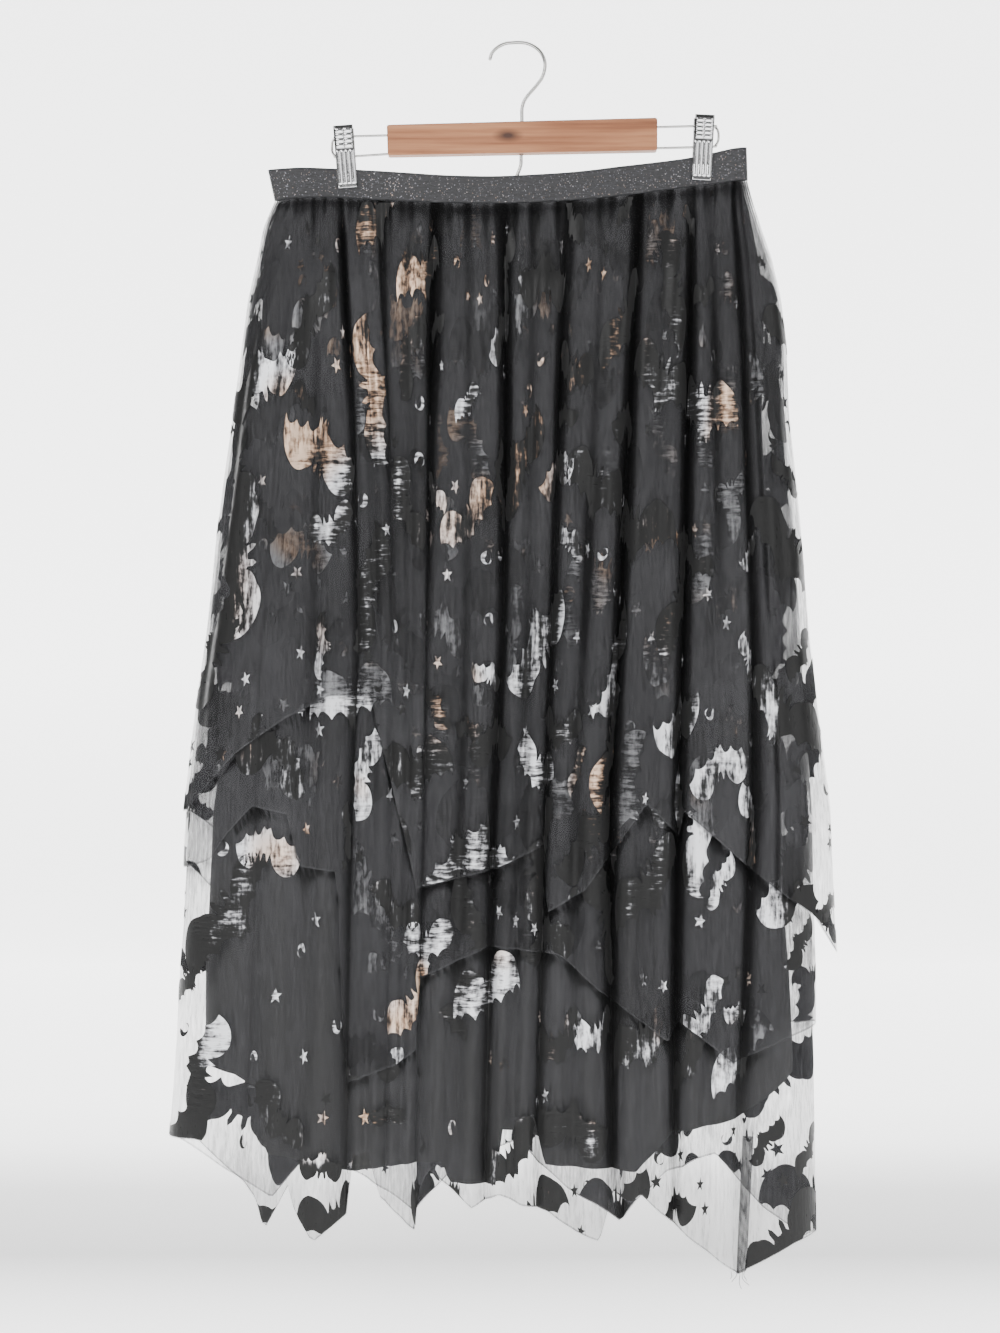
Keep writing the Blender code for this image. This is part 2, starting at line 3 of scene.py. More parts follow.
import bmesh
import bpy
import numpy as np
from mathutils import Matrix, Vector
from mathutils.geometry import delaunay_2d_cdt


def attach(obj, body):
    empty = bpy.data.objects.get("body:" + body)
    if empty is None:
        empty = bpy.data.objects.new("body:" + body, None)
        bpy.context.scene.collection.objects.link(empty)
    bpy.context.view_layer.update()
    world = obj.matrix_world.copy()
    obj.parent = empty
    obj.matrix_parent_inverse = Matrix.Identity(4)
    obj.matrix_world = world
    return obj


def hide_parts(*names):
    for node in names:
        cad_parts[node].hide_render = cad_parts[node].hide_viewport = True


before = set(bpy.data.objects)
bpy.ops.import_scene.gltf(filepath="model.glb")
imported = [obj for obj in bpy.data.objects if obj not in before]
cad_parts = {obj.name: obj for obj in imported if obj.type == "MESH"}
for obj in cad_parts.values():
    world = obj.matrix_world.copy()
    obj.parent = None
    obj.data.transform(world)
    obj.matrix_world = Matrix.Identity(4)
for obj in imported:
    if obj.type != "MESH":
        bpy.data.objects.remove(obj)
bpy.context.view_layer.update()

mm = 0.001
rowStep = 5.0  # mm between the rows of the working grids
colsPerPanel = 24

# The skirt's form, the same as the solids': down from the hook, left, right, how far the lower
# tiers hang inside the right edge, how far the lining hangs inside each edge, all in mm.
outline = np.array([
    (121, -220, 206, 0, 5, 5), (140, -220, 211, 0, 5, 5), (165, -231, 219, 0, 7, 8),
    (192, -236, 228, 0, 9, 12), (231, -245, 237, 0, 13, 16), (276, -251, 242, 0, 17, 21),
    (337, -258, 244, 2, 21, 25), (450, -274, 255, 4, 27, 33), (525, -282, 261, 5, 29, 38),
    (608, -293, 271, 10, 29, 43), (690, -303, 281, 15, 27, 46), (793, -307, 285, 16, 27, 45),
    (832, -310, 287, 17, 28, 44), (894, -314, 288, 18, 31, 42), (981, -321, 290, 18, 34, 42),
    (1130, -332, 292, 17, 40, 42),
], float)
# Fall below the band, depth in front, depth behind, reach of the rounded sides, fold depth,
# step between tiers, step between the lowest tier and the lining.
depthTable = np.array([
    (0, 10, 10, 13, 2.4, 1.6, 1.6), (25, 20, 17, 22, 5.0, 1.8, 1.8),
    (80, 32, 27, 36, 9.0, 2.2, 2.6), (200, 47, 40, 50, 15.0, 2.8, 4.0),
    (400, 61, 52, 66, 18.5, 3.8, 5.5), (650, 72, 62, 84, 21.0, 5.2, 6.5),
    (900, 80, 69, 92, 22.5, 5.4, 7.0), (1150, 86, 74, 96, 23.5, 5.4, 7.0),
], float)
bandDepth = np.array([
    (-226, 3.6), (-200, 6.5), (-171, 3.4), (-140, 3.4), (-90, 10.5), (0, 13.0), (90, 10.5),
    (149, 3.4), (179, 3.4), (193, 6.0), (206, 3.6),
], float)
bandBottom = np.array([
    (-220, 141.8), (-191, 138.4), (-165, 138.2), (-122, 141.6), (-71, 144.5), (-17, 145.6),
    (30, 143.6), (79, 140.0), (154, 128.9), (178, 126.4), (206, 121.6),
], float)
bandTop = np.array([
    (-226, 114.0), (-199, 111.5), (-165, 112.6), (-144, 113.4), (-71, 120.0), (-17, 121.4),
    (51, 117.2), (120, 108.0), (154, 103.0), (177, 98.4), (190, 94.0), (205, 92.5),
], float)
foldLevels = (147, 340, 540, 683, 983)
valleys = {  # strength, then x at each fold level
    -1: ((0.35, -196, -215, -230, -236, -247), (1.00, -160, -147, -142, -148, -153),
         (0.70, -126, -116, -111, -113, -118), (1.00, -76, -79, -82, -84, -91),
         (1.00, -13, -11, -14, -22, -30), (0.90, 43, 35, 28, 23, 15),
         (1.00, 108, 98, 88, 80, 82), (0.95, 155, 150, 145, 140, 136),
         (0.70, 193, 204, 211, 208, 192)),
    1: ((0.40, -188, -198, -207, -210, -222), (0.95, -148, -149, -152, -156, -166),
        (0.80, -92, -87, -87, -94, -96), (1.00, -36, -41, -43, -40, -50),
        (0.85, 22, 27, 29, 26, 18), (1.00, 84, 80, 81, 88, 96),
        (0.75, 132, 137, 139, 137, 150), (0.50, 182, 190, 198, 202, 210)),
}
seamGap, sideGap, foldReach, foldSlope, subValley = 0.3, 0.7, 0.34, 0.3, 0.10
wallTop, wallLow = 1.2, 1.8

# Creases listed for the tiers: panel and share of it, fall where it starts and ends,
# depth and half width in mm, drift along the panel in mm by its lower end.
creases = {
    -1: ((0.45, 10, 520, 5.0, 9, -14), (0.70, 60, 700, 4.0, 8, 10), (1.35, 0, 300, 3.4, 6, -5),
         (1.55, 180, 900, 3.0, 6, 6), (2.50, 30, 620, 3.0, 5, 3), (3.22, 0, 240, 3.2, 5, 4),
         (3.62, 120, 900, 4.2, 7, -6), (4.30, 0, 420, 3.6, 6, -5), (4.50, 260, 960, 4.0, 7, 8),
         (4.74, 0, 190, 2.6, 4, 3), (5.36, 0, 520, 3.4, 6, 6), (5.60, 300, 960, 3.4, 6, -8),
         (6.28, 0, 330, 3.8, 6, 4), (6.52, 120, 900, 4.6, 7, -9), (6.76, 0, 150, 2.4, 4, 0),
         (7.34, 20, 600, 3.2, 6, -4), (7.60, 260, 940, 3.0, 6, 5), (8.36, 0, 380, 3.6, 6, 7),
         (8.66, 150, 900, 3.8, 7, 8), (9.40, 60, 760, 3.2, 7, -6)),
    1: ((0.50, 10, 600, 4.0, 8, 8), (1.40, 0, 420, 3.6, 6, -4), (1.64, 200, 900, 3.6, 7, 6),
        (2.36, 0, 280, 3.0, 5, 4), (2.60, 160, 940, 4.2, 7, -7), (3.45, 0, 520, 3.8, 6, 5),
        (4.30, 60, 900, 3.6, 7, -6), (4.66, 0, 240, 3.0, 5, 0), (5.48, 0, 700, 4.2, 7, 9),
        (6.40, 30, 520, 3.4, 6, -5), (6.70, 260, 940, 3.6, 7, 4), (7.45, 0, 620, 3.4, 7, 6),
        (8.40, 60, 800, 3.4, 7, -8)),
}


def at(table, index, where):
    return np.interp(where, table[:, 0], table[:, index])


def wallAt(fall):
    return wallTop + (wallLow - wallTop) * np.clip(fall / 200.0, 0, 1)


def sectionAt(down, fall, side):
    # What one level section of the skirt needs, for arrays of heights.
    sec = {"down": down, "fall": fall, "cap": at(depthTable, 3, fall)}
    sec["depth"] = at(depthTable, 1 if side < 0 else 2, fall)
    sec["pinch"] = np.clip(1 - fall / 70.0, 0, 1)
    sec["footL"] = at(outline, 1, down) + sec["cap"]
    sec["footR"] = at(outline, 2, down) - sec["cap"]
    sec["arc"] = math.pi / 2 * np.hypot(sec["cap"], 0.8 * sec["depth"]) / math.sqrt(2)
    sec["total"] = 2 * sec["arc"] + sec["footR"] - sec["footL"]
    sec["folds"] = at(depthTable, 4, fall)
    return sec


def crowned(sec, x):
    middle = (sec["footL"] + sec["footR"]) / 2
    half = (sec["footR"] - sec["footL"]) / 2
    low = sec["depth"] * (1 - 0.2 * np.clip(np.abs(x - middle) / half, 0, 1) ** 2.2)
    band = np.interp(x, bandDepth[:, 0], bandDepth[:, 1]) + 3.9
    return band * sec["pinch"] + low * (1 - sec["pinch"])


def alongSection(sec, x):
    turnL = np.arcsin(np.clip((sec["footL"] - x) / sec["cap"], 0, 1))
    turnR = np.arcsin(np.clip((x - sec["footR"]) / sec["cap"], 0, 1))
    s = sec["arc"] + np.clip(x, sec["footL"], sec["footR"]) - sec["footL"]
    s = np.where(x < sec["footL"], sec["arc"] * (1 - turnL / (math.pi / 2)), s)
    return np.where(x > sec["footR"], sec["total"] - sec["arc"] * (1 - turnR / (math.pi / 2)), s)


def rayAt(sec, s):
    end = np.where(s < sec["arc"], -1, np.where(s > sec["total"] - sec["arc"], 1, 0))
    rest = np.where(end < 0, s, sec["total"] - s)
    turn = np.where(end == 0, 0, math.pi / 2 * (1 - np.clip(rest, 0, None) / sec["arc"]))
    foot = np.where(end < 0, sec["footL"], sec["footR"])
    foot = np.where(end == 0, sec["footL"] + s - sec["arc"], foot)
    vx, vy = sec["cap"] * np.sin(turn) * end, crowned(sec, foot) * np.cos(turn)
    length = np.hypot(vx, vy)
    return foot, vx / length, vy / length, length, np.sin(turn) ** 2, end


def insetOf(layer, sec, share, end):
    fall, down = sec["fall"], sec["down"]
    front = at(depthTable, 5, fall) * min(layer, 2)
    if layer == 3:
        front = front + at(depthTable, 6, fall)
    side = min(layer, 2) * (wallAt(fall) + sideGap) + np.where(end > 0, at(outline, 3, down), 0)
    if layer == 3:
        lining = np.where(end < 0, at(outline, 4, down), at(outline, 5, down))
        side = np.maximum(lining, side + wallAt(fall) + sideGap)
    inset = front + (side - front) * share
    return np.where((end == 0) | (layer == 0), front, inset)


def roomAt(sec, s):
    _, _, _, length, share, end = rayAt(sec, s)
    return np.clip(length - insetOf(3, sec, share, end) - wallAt(sec["fall"]) - seamGap, 0, None)


def foldsAt(sec, marks, strengths, panel, p):
    # Depth of the main folds, from the distances of the valleys round the section.
    widths = [marks[k + 1] - marks[k] for k in range(len(marks) - 1)]

    def valley(k):
        beside = [widths[j] for j in (k - 1, k) if 0 <= j < len(widths)]
        narrow = beside[0] if len(beside) == 1 else np.minimum(*beside)
        return np.minimum(strengths[k] * np.minimum(sec["folds"], foldSlope * narrow),
                          roomAt(sec, marks[k]))

    deep = np.zeros_like(sec["fall"])
    for k in range(len(widths)):
        here = panel == k
        if not here.any():
            continue
        rise0 = np.clip(1 - p / foldReach, 0, None) ** 2
        rise1 = np.clip(1 - (1 - p) / foldReach, 0, None) ** 2
        share = 0.0 if k in (0, len(widths) - 1) else np.clip(sec["folds"] / 14.0, 0, 1)
        soft = share * subValley * np.minimum(widths[k], 60.0) * np.exp(-(((p - 0.5) / 0.13) ** 2))
        soft = np.minimum(soft, roomAt(sec, marks[k] + p * widths[k]))
        deep = np.where(here, valley(k) * rise0 + valley(k + 1) * rise1 + soft, deep)
    return deep


def fineFolds(side, q, fall, widthHere):
    # Gathers under the band and the listed creases; q is panel plus share.
    g = np.zeros_like(fall)
    gathers = ((4.7, 0.4, 1.25, 48), (7.3, 1.9, 0.80, 26), (3.1, 2.7, 0.90, 95), (2.3, 5.1, 0.6, 210))
    for often, phase, size, reach in gathers:  # waves a panel, phase, mm, fall where it fades
        wander = 0.35 * np.sin(1.7 * q + phase * 3)
        wave = 0.5 + 0.5 * np.sin(2 * math.pi * (often * q + wander) + phase)
        g += size * wave ** 2 * np.exp(-((fall / reach) ** 2))
    for where, start, stop, deep, half, drift in creases[side]:
        t = np.clip((fall - start) / (stop - start), 0, 1)
        window = np.sin(math.pi * t) ** 0.6
        off = (q - where) * widthHere - drift * t
        g += deep * window * (np.exp(-((off / half) ** 2)) - 0.35 * np.exp(
            -(((off - 1.8 * half) / half) ** 2)))
    g += 0.9 * np.sin(0.021 * fall + 2.1 * q) * np.sin(0.9 * q + 0.006 * fall) * np.clip(
        fall / 150, 0, 1)
    return g * 0.85


def bandEdge(table, x):
    return sum(np.interp(x + k, table[:, 0], table[:, 1]) for k in (-18, -9, 0, 9, 18)) / 5


def pointsAt(layer, side, panel, p, down, fall):
    # Points of a layer's surface, in mm, and how deep in a fold each lies, from 0 to 1.
    sec = sectionAt(down, fall, side)
    table = valleys[side]
    marks = [np.zeros_like(down)]
    for row in table:
        marks.append(alongSection(sec, np.interp(down, foldLevels, row[1:])))
    marks.append(sec["total"])
    strengths = [0.0] + [row[0] for row in table] + [0.0]
    start = np.choose(panel, marks[:-1])
    width = np.choose(panel, marks[1:]) - start
    s = start + p * width
    foot, dx, dy, length, share, end = rayAt(sec, s)
    room = roomAt(sec, s)
    folds = foldsAt(sec, marks, strengths, panel, p)
    fine = fineFolds(side, panel + p, fall, width)
    length = length - np.clip(folds + fine, -1.2, np.maximum(room, 0.2)) - insetOf(
        layer, sec, share, end) - wallAt(fall) / 2
    deep = np.clip((folds + 0.9 * np.clip(fine, 0, None)) / (0.85 * sec["folds"] + 2.0), 0, 1)
    points = np.stack([foot + dx * length, side * (dy * length + seamGap / 2), -down], axis=-1)
    return points, deep


def workingGrid(layer, side, longest):
    # The layer's surface on a regular grid: rows by fall, columns by panel.
    count = len(valleys[side]) + 1
    shares = (1 - np.cos(np.linspace(0, math.pi, colsPerPanel + 1)[:-1])) / 2  # closer at valleys
    shares = 0.5 * shares + 0.5 * np.linspace(0, 1, colsPerPanel + 1)[:-1]
    panel = np.append(np.repeat(np.arange(count), colsPerPanel), count - 1)
    p = np.append(np.tile(shares, count), 1.0)
    top = np.full(len(p), 140.0)
    for _ in range(4):
        x = pointsAt(layer, side, panel, p, top, np.zeros_like(top))[0][:, 0]
        top = bandEdge(bandBottom, x) + 1.5 * seamGap
    falls = np.arange(0, longest + 2 * rowStep, rowStep)
    fall = np.repeat(falls[:, None], len(p), axis=1)
    pts, deep = pointsAt(layer, side, np.tile(panel, (len(falls), 1)),
                         np.tile(p, (len(falls), 1)), top[None, :] + fall, fall)
    steps = np.linalg.norm(np.diff(pts, axis=1), axis=2)
    girth = steps.sum(axis=1)
    hidden = 1 + 3.0 * (deep[:, 1:] + deep[:, :-1]) / 2  # a valley takes in more cloth than it shows
    along = np.concatenate([np.zeros((len(falls), 1)), np.cumsum(steps * hidden, axis=1)], axis=1)
    dq, df = np.gradient(pts, axis=1), np.gradient(pts, axis=0)
    normal = np.cross(df, dq) * -side
    normal /= np.linalg.norm(normal, axis=2)[..., None]
    outward = np.sign((normal[..., 1] * side).sum())
    return {"layer": layer, "side": side, "panel": panel, "p": p, "top": top, "pts": pts,
            "along": along, "normal": normal * outward, "falls": falls, "deep": deep,
            "girth": girth}


def sample(grid, name, fall, col):
    # A value of the working grid at a fall and a column, both with fractions.
    values = grid[name]
    r = np.clip(fall / rowStep, 0, len(grid["falls"]) - 1.001)
    c = np.clip(col, 0, values.shape[1] - 1.001)
    r0, c0 = r.astype(int), c.astype(int)
    fr, fc = (r - r0)[..., None], (c - c0)[..., None]
    if values.ndim == 2:
        fr, fc = fr[..., 0], fc[..., 0]
    upper = values[r0, c0] * (1 - fc) + values[r0, c0 + 1] * fc
    lower = values[r0 + 1, c0] * (1 - fc) + values[r0 + 1, c0 + 1] * fc
    return upper * (1 - fr) + lower * fr


def hemFalls(grid, hem, nominal):
    # Fall of the hem at each column, from a table of x and down.
    x = sample(grid, "pts", np.full(len(grid["p"]), nominal - 140.0),
               np.arange(len(grid["p"]), dtype=float))[:, 0]
    hemX, hemDown = zip(*hem)
    return np.interp(x, hemX, hemDown) - grid["top"]


def newObject(name, points, faces, mat, smooth=True):
    mesh = bpy.data.meshes.new(name)
    mesh.from_pydata([tuple(float(c) * mm for c in p) for p in points], [], faces)
    mesh.update()
    if smooth:
        mesh.polygons.foreach_set("use_smooth", [True] * len(mesh.polygons))
    mesh.materials.append(mat)
    obj = bpy.data.objects.new(name, mesh)
    bpy.context.scene.collection.objects.link(obj)
    return obj


def addAttribute(obj, name, values):
    layer = obj.data.attributes.new(name, "FLOAT", "POINT")
    layer.data.foreach_set("value", np.asarray(values, np.float32))


def gridFaces(rows, cols, flip):
    faces = []
    for r in range(rows - 1):
        for c in range(cols - 1):
            a, b = r * cols + c, r * cols + c + 1
            quad = (a, b, b + cols, a + cols)
            faces.append(quad[::-1] if flip else quad)
    return faces


# ---- materials -------------------------------------------------------------------------------


def startMaterial(name):
    mat = bpy.data.materials.new(name)
    mat.use_nodes = True
    nodes, links = mat.node_tree.nodes, mat.node_tree.links
    shader = next(n for n in nodes if n.type == "BSDF_PRINCIPLED")
    return mat, nodes, links, shader


def addNode(nodes, kind, **values):
    node = nodes.new(kind)
    for key, value in values.items():
        if hasattr(node, key):
            setattr(node, key, value)
        else:
            node.inputs[key.replace("_", " ")].default_value = value
    return node


def mapped(nodes, links, scale, turn=(0, 0, 0)):
    # Object coordinates, scaled per axis, in waves a metre.
    coords = nodes.new("ShaderNodeTexCoord")
    place = nodes.new("ShaderNodeMapping")
    place.inputs["Scale"].default_value = scale
    place.inputs["Rotation"].default_value = turn
    links.new(coords.outputs["Object"], place.inputs["Vector"])
    return place.outputs["Vector"]


def noiseNode(nodes, links, vector, scale, detail=2.0, rough=0.5):
    node = nodes.new("ShaderNodeTexNoise")
    node.inputs["Scale"].default_value = scale
    node.inputs["Detail"].default_value = detail
    node.inputs["Roughness"].default_value = rough
    links.new(vector, node.inputs["Vector"])
    return node.outputs["Fac"]


def ramp(nodes, links, factor, stops):
    node = nodes.new("ShaderNodeValToRGB")
    element = node.color_ramp.elements
    while len(element) < len(stops):
        element.new(0.5)
    for slot, (place, colour) in zip(element, stops):
        slot.position = place
        slot.color = (*colour, 1) if len(colour) == 3 else colour
    links.new(factor, node.inputs["Fac"])
    return node.outputs["Color"]


def grey(v):
    return (v, v, v)


def bumped(nodes, links, height, strength, distance):
    node = nodes.new("ShaderNodeBump")
    node.inputs["Strength"].default_value = strength
    node.inputs["Distance"].default_value = distance
    links.new(height, node.inputs["Height"])
    return node.outputs["Normal"]


def mathNode(nodes, links, kind, a, b):
    node = nodes.new("ShaderNodeMath")
    node.operation = kind
    for socket, value in zip(node.inputs, (a, b)):
        if hasattr(value, "default_value") or hasattr(value, "node"):
            links.new(value, socket)
        else:
            socket.default_value = value
    return node.outputs["Value"]


def multiplied(nodes, links, first, second):
    mix = addNode(nodes, "ShaderNodeMix", data_type="RGBA", blend_type="MULTIPLY")
    mix.inputs[0].default_value = 1.0
    links.new(first, mix.inputs[6])
    links.new(second, mix.inputs[7])
    return mix.outputs[2]


def mixed(nodes, links, factor, first, second):
    mix = addNode(nodes, "ShaderNodeMix", data_type="RGBA")
    links.new(factor, mix.inputs[0])
    links.new(first, mix.inputs[6])
    links.new(second, mix.inputs[7])
    return mix.outputs[2]


def netMaterial(name, colour, solid):
    # Soft tulle: a dark net that lets part of what is behind it through, with painted shade in its
    # folds and under covering hems.
    mat, nodes, links, shader = startMaterial(name)
    threads = noiseNode(nodes, links, mapped(nodes, links, (420, 420, 60)), 1.0, 3.0, 0.6)
    patches = noiseNode(nodes, links, mapped(nodes, links, (14, 14, 5)), 1.0, 2.0)
    both = mathNode(nodes, links, "ADD", mathNode(nodes, links, "MULTIPLY", threads, 0.55),
                    mathNode(nodes, links, "MULTIPLY", patches, 0.45))
    tone = ramp(nodes, links, both, ((0.30, [c * 0.75 for c in colour]),
                                     (0.70, [c * 1.25 for c in colour])))
    deep = addNode(nodes, "ShaderNodeAttribute", attribute_name="deep").outputs["Fac"]
    # painted shade: the deep attribute darkens the net in fold valleys and just below the hem of a
    # covering tier
    shade = ramp(nodes, links, deep, ((0.0, grey(1.0)), (0.30, grey(0.92)), (0.50, grey(0.20)),
                                      (0.85, grey(0.03))))
    links.new(multiplied(nodes, links, tone, shade), shader.inputs["Base Color"])
    shader.inputs["Roughness"].default_value = 0.9
    shader.inputs["Specular IOR Level"].default_value = 0.1
    links.new(bumped(nodes, links, threads, 0.2, 0.0005), shader.inputs["Normal"])
    edge = addNode(nodes, "ShaderNodeAttribute", attribute_name="edge").outputs["Fac"]
    cover = ramp(nodes, links, both, ((0.38, grey(solid - 0.15)), (0.62, grey(solid + 0.21))))
    # deep also makes the net more opaque, partly for the cloth a valley gathers and partly as painted
    # shade
    more = mathNode(nodes, links, "ADD", mathNode(nodes, links, "MULTIPLY", deep, 0.42),
                    mathNode(nodes, links, "MULTIPLY", edge, 0.28))
    links.new(mathNode(nodes, links, "ADD", cover, more), shader.inputs["Alpha"])
    return mat


def foilMaterial(name):
    # Crinkled foil print: black, with a painted reflection in silver or bronze where its shine
    # attribute is high.
    mat, nodes, links, shader = startMaterial(name)
    shine = addNode(nodes, "ShaderNodeAttribute", attribute_name="shine").outputs["Fac"]
    warm = addNode(nodes, "ShaderNodeAttribute", attribute_name="warm").outputs["Fac"]
    upright = noiseNode(nodes, links, mapped(nodes, links, (300, 300, 45)), 1.0, 2.0, 0.6)
    level = noiseNode(nodes, links, mapped(nodes, links, (60, 60, 400)), 1.0, 2.0, 0.6)
    areas = noiseNode(nodes, links, mapped(nodes, links, (11, 11, 9)), 1.0, 1.0)
    areas = ramp(nodes, links, areas, ((0.44, grey(0)), (0.56, grey(1))))
    lines = mixed(nodes, links, areas, upright, level)
    crumbs = noiseNode(nodes, links, mapped(nodes, links, (190, 190, 160)), 1.0, 2.0, 0.6)
    crack = mathNode(nodes, links, "ADD", mathNode(nodes, links, "MULTIPLY", lines, 0.65),
                     mathNode(nodes, links, "MULTIPLY", crumbs, 0.35))
    # painted reflection: shine and the crinkle noise set how bright and how metallic the foil is
    # painted
    lit = mathNode(nodes, links, "ADD", shine, mathNode(
        nodes, links, "MULTIPLY", mathNode(nodes, links, "SUBTRACT", crack, 0.5), 2.0))
    silver = ramp(nodes, links, lit, ((0.32, grey(0.016)), (0.44, (0.06, 0.06, 0.063)),
                                      (0.58, (0.36, 0.36, 0.375)), (0.80, (0.80, 0.81, 0.84))))
    bronze = ramp(nodes, links, lit, ((0.32, grey(0.016)), (0.44, (0.07, 0.050, 0.040)),
                                      (0.58, (0.34, 0.22, 0.15)), (0.80, (0.74, 0.54, 0.40))))
    # painted shade: prints under a covering tier are painted darker
    under = addNode(nodes, "ShaderNodeAttribute", attribute_name="under").outputs["Fac"]
    coverShade = ramp(nodes, links, under, ((0.0, grey(1.0)), (1.0, grey(0.42))))
    foil = mixed(nodes, links, warm, silver, bronze)
    links.new(multiplied(nodes, links, foil, coverShade), shader.inputs["Base Color"])
    links.new(ramp(nodes, links, lit, ((0.34, grey(0.0)), (0.60, grey(0.60)))),
              shader.inputs["Metallic"])
    shader.inputs["Specular IOR Level"].default_value = 0.15
    links.new(ramp(nodes, links, crack, ((0.3, grey(0.22)), (0.7, grey(0.5)))),
              shader.inputs["Roughness"])
    links.new(bumped(nodes, links, crack, 0.5, 0.0009), shader.inputs["Normal"])
    return mat


def liningMaterial():
    mat, nodes, links, shader = startMaterial("liningWeave")
    weave = noiseNode(nodes, links, mapped(nodes, links, (900, 900, 300)), 1.0, 2.0)
    links.new(ramp(nodes, links, weave, ((0.3, grey(0.012)), (0.7, grey(0.022)))),
              shader.inputs["Base Color"])
    shader.inputs["Roughness"].default_value = 0.7
    links.new(bumped(nodes, links, weave, 0.3, 0.0004), shader.inputs["Normal"])
    return mat


def elasticMaterial():
    # Knitted elastic with fine glitter in silver, a little of it warm.
    mat, nodes, links, shader = startMaterial("glitterElastic")
    cells = nodes.new("ShaderNodeTexVoronoi")
    cells.inputs["Scale"].default_value = 1.0
    links.new(mapped(nodes, links, (1300, 1300, 1300)), cells.inputs["Vector"])
    pick = nodes.new("ShaderNodeSeparateColor")
    links.new(cells.outputs["Color"], pick.inputs["Color"])
    spark = ramp(nodes, links, pick.outputs["Red"], ((0.93, grey(0)), (0.97, grey(1))))
    plain = addNode(nodes, "ShaderNodeAttribute", attribute_name="plain").outputs["Fac"]
    spark = multiplied(nodes, links, spark, ramp(nodes, links, plain, ((0.3, grey(1)), (0.8, grey(0)))))
    tint = ramp(nodes, links, pick.outputs["Green"], (
        (0.0, (0.16, 0.16, 0.18)), (0.55, (0.30, 0.30, 0.34)), (0.8, (0.34, 0.25, 0.20)),
        (1.0, (0.62, 0.62, 0.66))))
    ribs = noiseNode(nodes, links, mapped(nodes, links, (260, 260, 900)), 1.0, 2.0)
    base = ramp(nodes, links, ribs, ((0.3, grey(0.014)), (0.7, (0.030, 0.030, 0.034))))
    mix = addNode(nodes, "ShaderNodeMix", data_type="RGBA")
    links.new(spark, mix.inputs[0])
    links.new(base, mix.inputs[6])
    links.new(tint, mix.inputs[7])
    links.new(mix.outputs[2], shader.inputs["Base Color"])
    links.new(spark, shader.inputs["Metallic"])
    links.new(ramp(nodes, links, spark, ((0.0, grey(0.65)), (1.0, grey(0.3)))),
              shader.inputs["Roughness"])
    links.new(bumped(nodes, links, ribs, 0.5, 0.0008), shader.inputs["Normal"])
    return mat


def woodMaterial():
    # Reddish cedar with long grain and one dark knot near the hook.
    mat, nodes, links, shader = startMaterial("barCedar")
    tilt = (0, math.radians(-1.5), 0)
    grain = noiseNode(nodes, links, mapped(nodes, links, (7, 60, 190), tilt), 1.0, 5.0, 0.62)
    bands = noiseNode(nodes, links, mapped(nodes, links, (2.5, 20, 55), tilt), 1.0, 3.0, 0.5)
    both = mathNode(nodes, links, "ADD", mathNode(nodes, links, "MULTIPLY", grain, 0.55),
                    mathNode(nodes, links, "MULTIPLY", bands, 0.45))
    tone = ramp(nodes, links, both, ((0.30, (0.13, 0.046, 0.021)), (0.45, (0.26, 0.098, 0.043)),
                                     (0.58, (0.38, 0.165, 0.076)), (0.75, (0.49, 0.245, 0.125))))
    coords = nodes.new("ShaderNodeTexCoord")
    place = nodes.new("ShaderNodeMapping")
    place.vector_type = "POINT"
    place.inputs["Location"].default_value = (0.010 * 60, 0, 0.0835 * 130)
    place.inputs["Scale"].default_value = (60, 1, 130)
    links.new(coords.outputs["Object"], place.inputs["Vector"])
    knot = nodes.new("ShaderNodeTexGradient")
    knot.gradient_type = "SPHERICAL"
    links.new(place.outputs["Vector"], knot.inputs["Vector"])
    mask = ramp(nodes, links, knot.outputs["Fac"], ((0.1, grey(0)), (0.8, grey(1))))
    mix = addNode(nodes, "ShaderNodeMix", data_type="RGBA")
    links.new(mask, mix.inputs[0])
    links.new(tone, mix.inputs[6])
    mix.inputs[7].default_value = (0.05, 0.02, 0.012, 1)
    links.new(mix.outputs[2], shader.inputs["Base Color"])
    links.new(ramp(nodes, links, grain, ((0.3, grey(0.42)), (0.7, grey(0.58)))),
              shader.inputs["Roughness"])
    links.new(bumped(nodes, links, grain, 0.25, 0.0005), shader.inputs["Normal"])
    return mat


def metalMaterial(name, colour, rough):
    # Plated steel with faint polishing marks, and painted shade from the rim attribute.
    mat, nodes, links, shader = startMaterial(name)
    marks = noiseNode(nodes, links, mapped(nodes, links, (300, 300, 900)), 1.0, 2.0)
    tone = ramp(nodes, links, marks, ((0.3, [c * 0.9 for c in colour]), (0.7, colour)))
    rim = addNode(nodes, "ShaderNodeAttribute", attribute_name="rim").outputs["Fac"]
    # painted shade: rim darkens the wires toward their outline and the clips in their pressed grooves
    shade = ramp(nodes, links, rim, ((0.0, grey(1.0)), (0.45, grey(0.80)), (0.75, grey(0.30)),
                                     (1.0, grey(0.08))))
    links.new(multiplied(nodes, links, tone, shade), shader.inputs["Base Color"])
    shader.inputs["Metallic"].default_value = 1.0
    links.new(ramp(nodes, links, marks, ((0.3, grey(rough)), (0.7, grey(rough + 0.1)))),
              shader.inputs["Roughness"])
    links.new(bumped(nodes, links, marks, 0.06, 0.0003), shader.inputs["Normal"])
    return mat


# ---- prints ----------------------------------------------------------------------------------


def curve(points, bend, steps=7):
    # Points along a quadratic curve from points[0] to points[1] by way of bend.
    a, b, c = np.array(points[0]), np.array(bend), np.array(points[1])
    t = np.linspace(0, 1, steps, endpoint=False)[:, None]
    return (a * (1 - t) ** 2 + 2 * b * t * (1 - t) + c * t * t).tolist()


def mirrored(half):
    # A closed outline from its right half, given from top middle to bottom middle.
    left = [(-x, y) for x, y in reversed(half) if abs(x) > 1e-6]
    return half + left


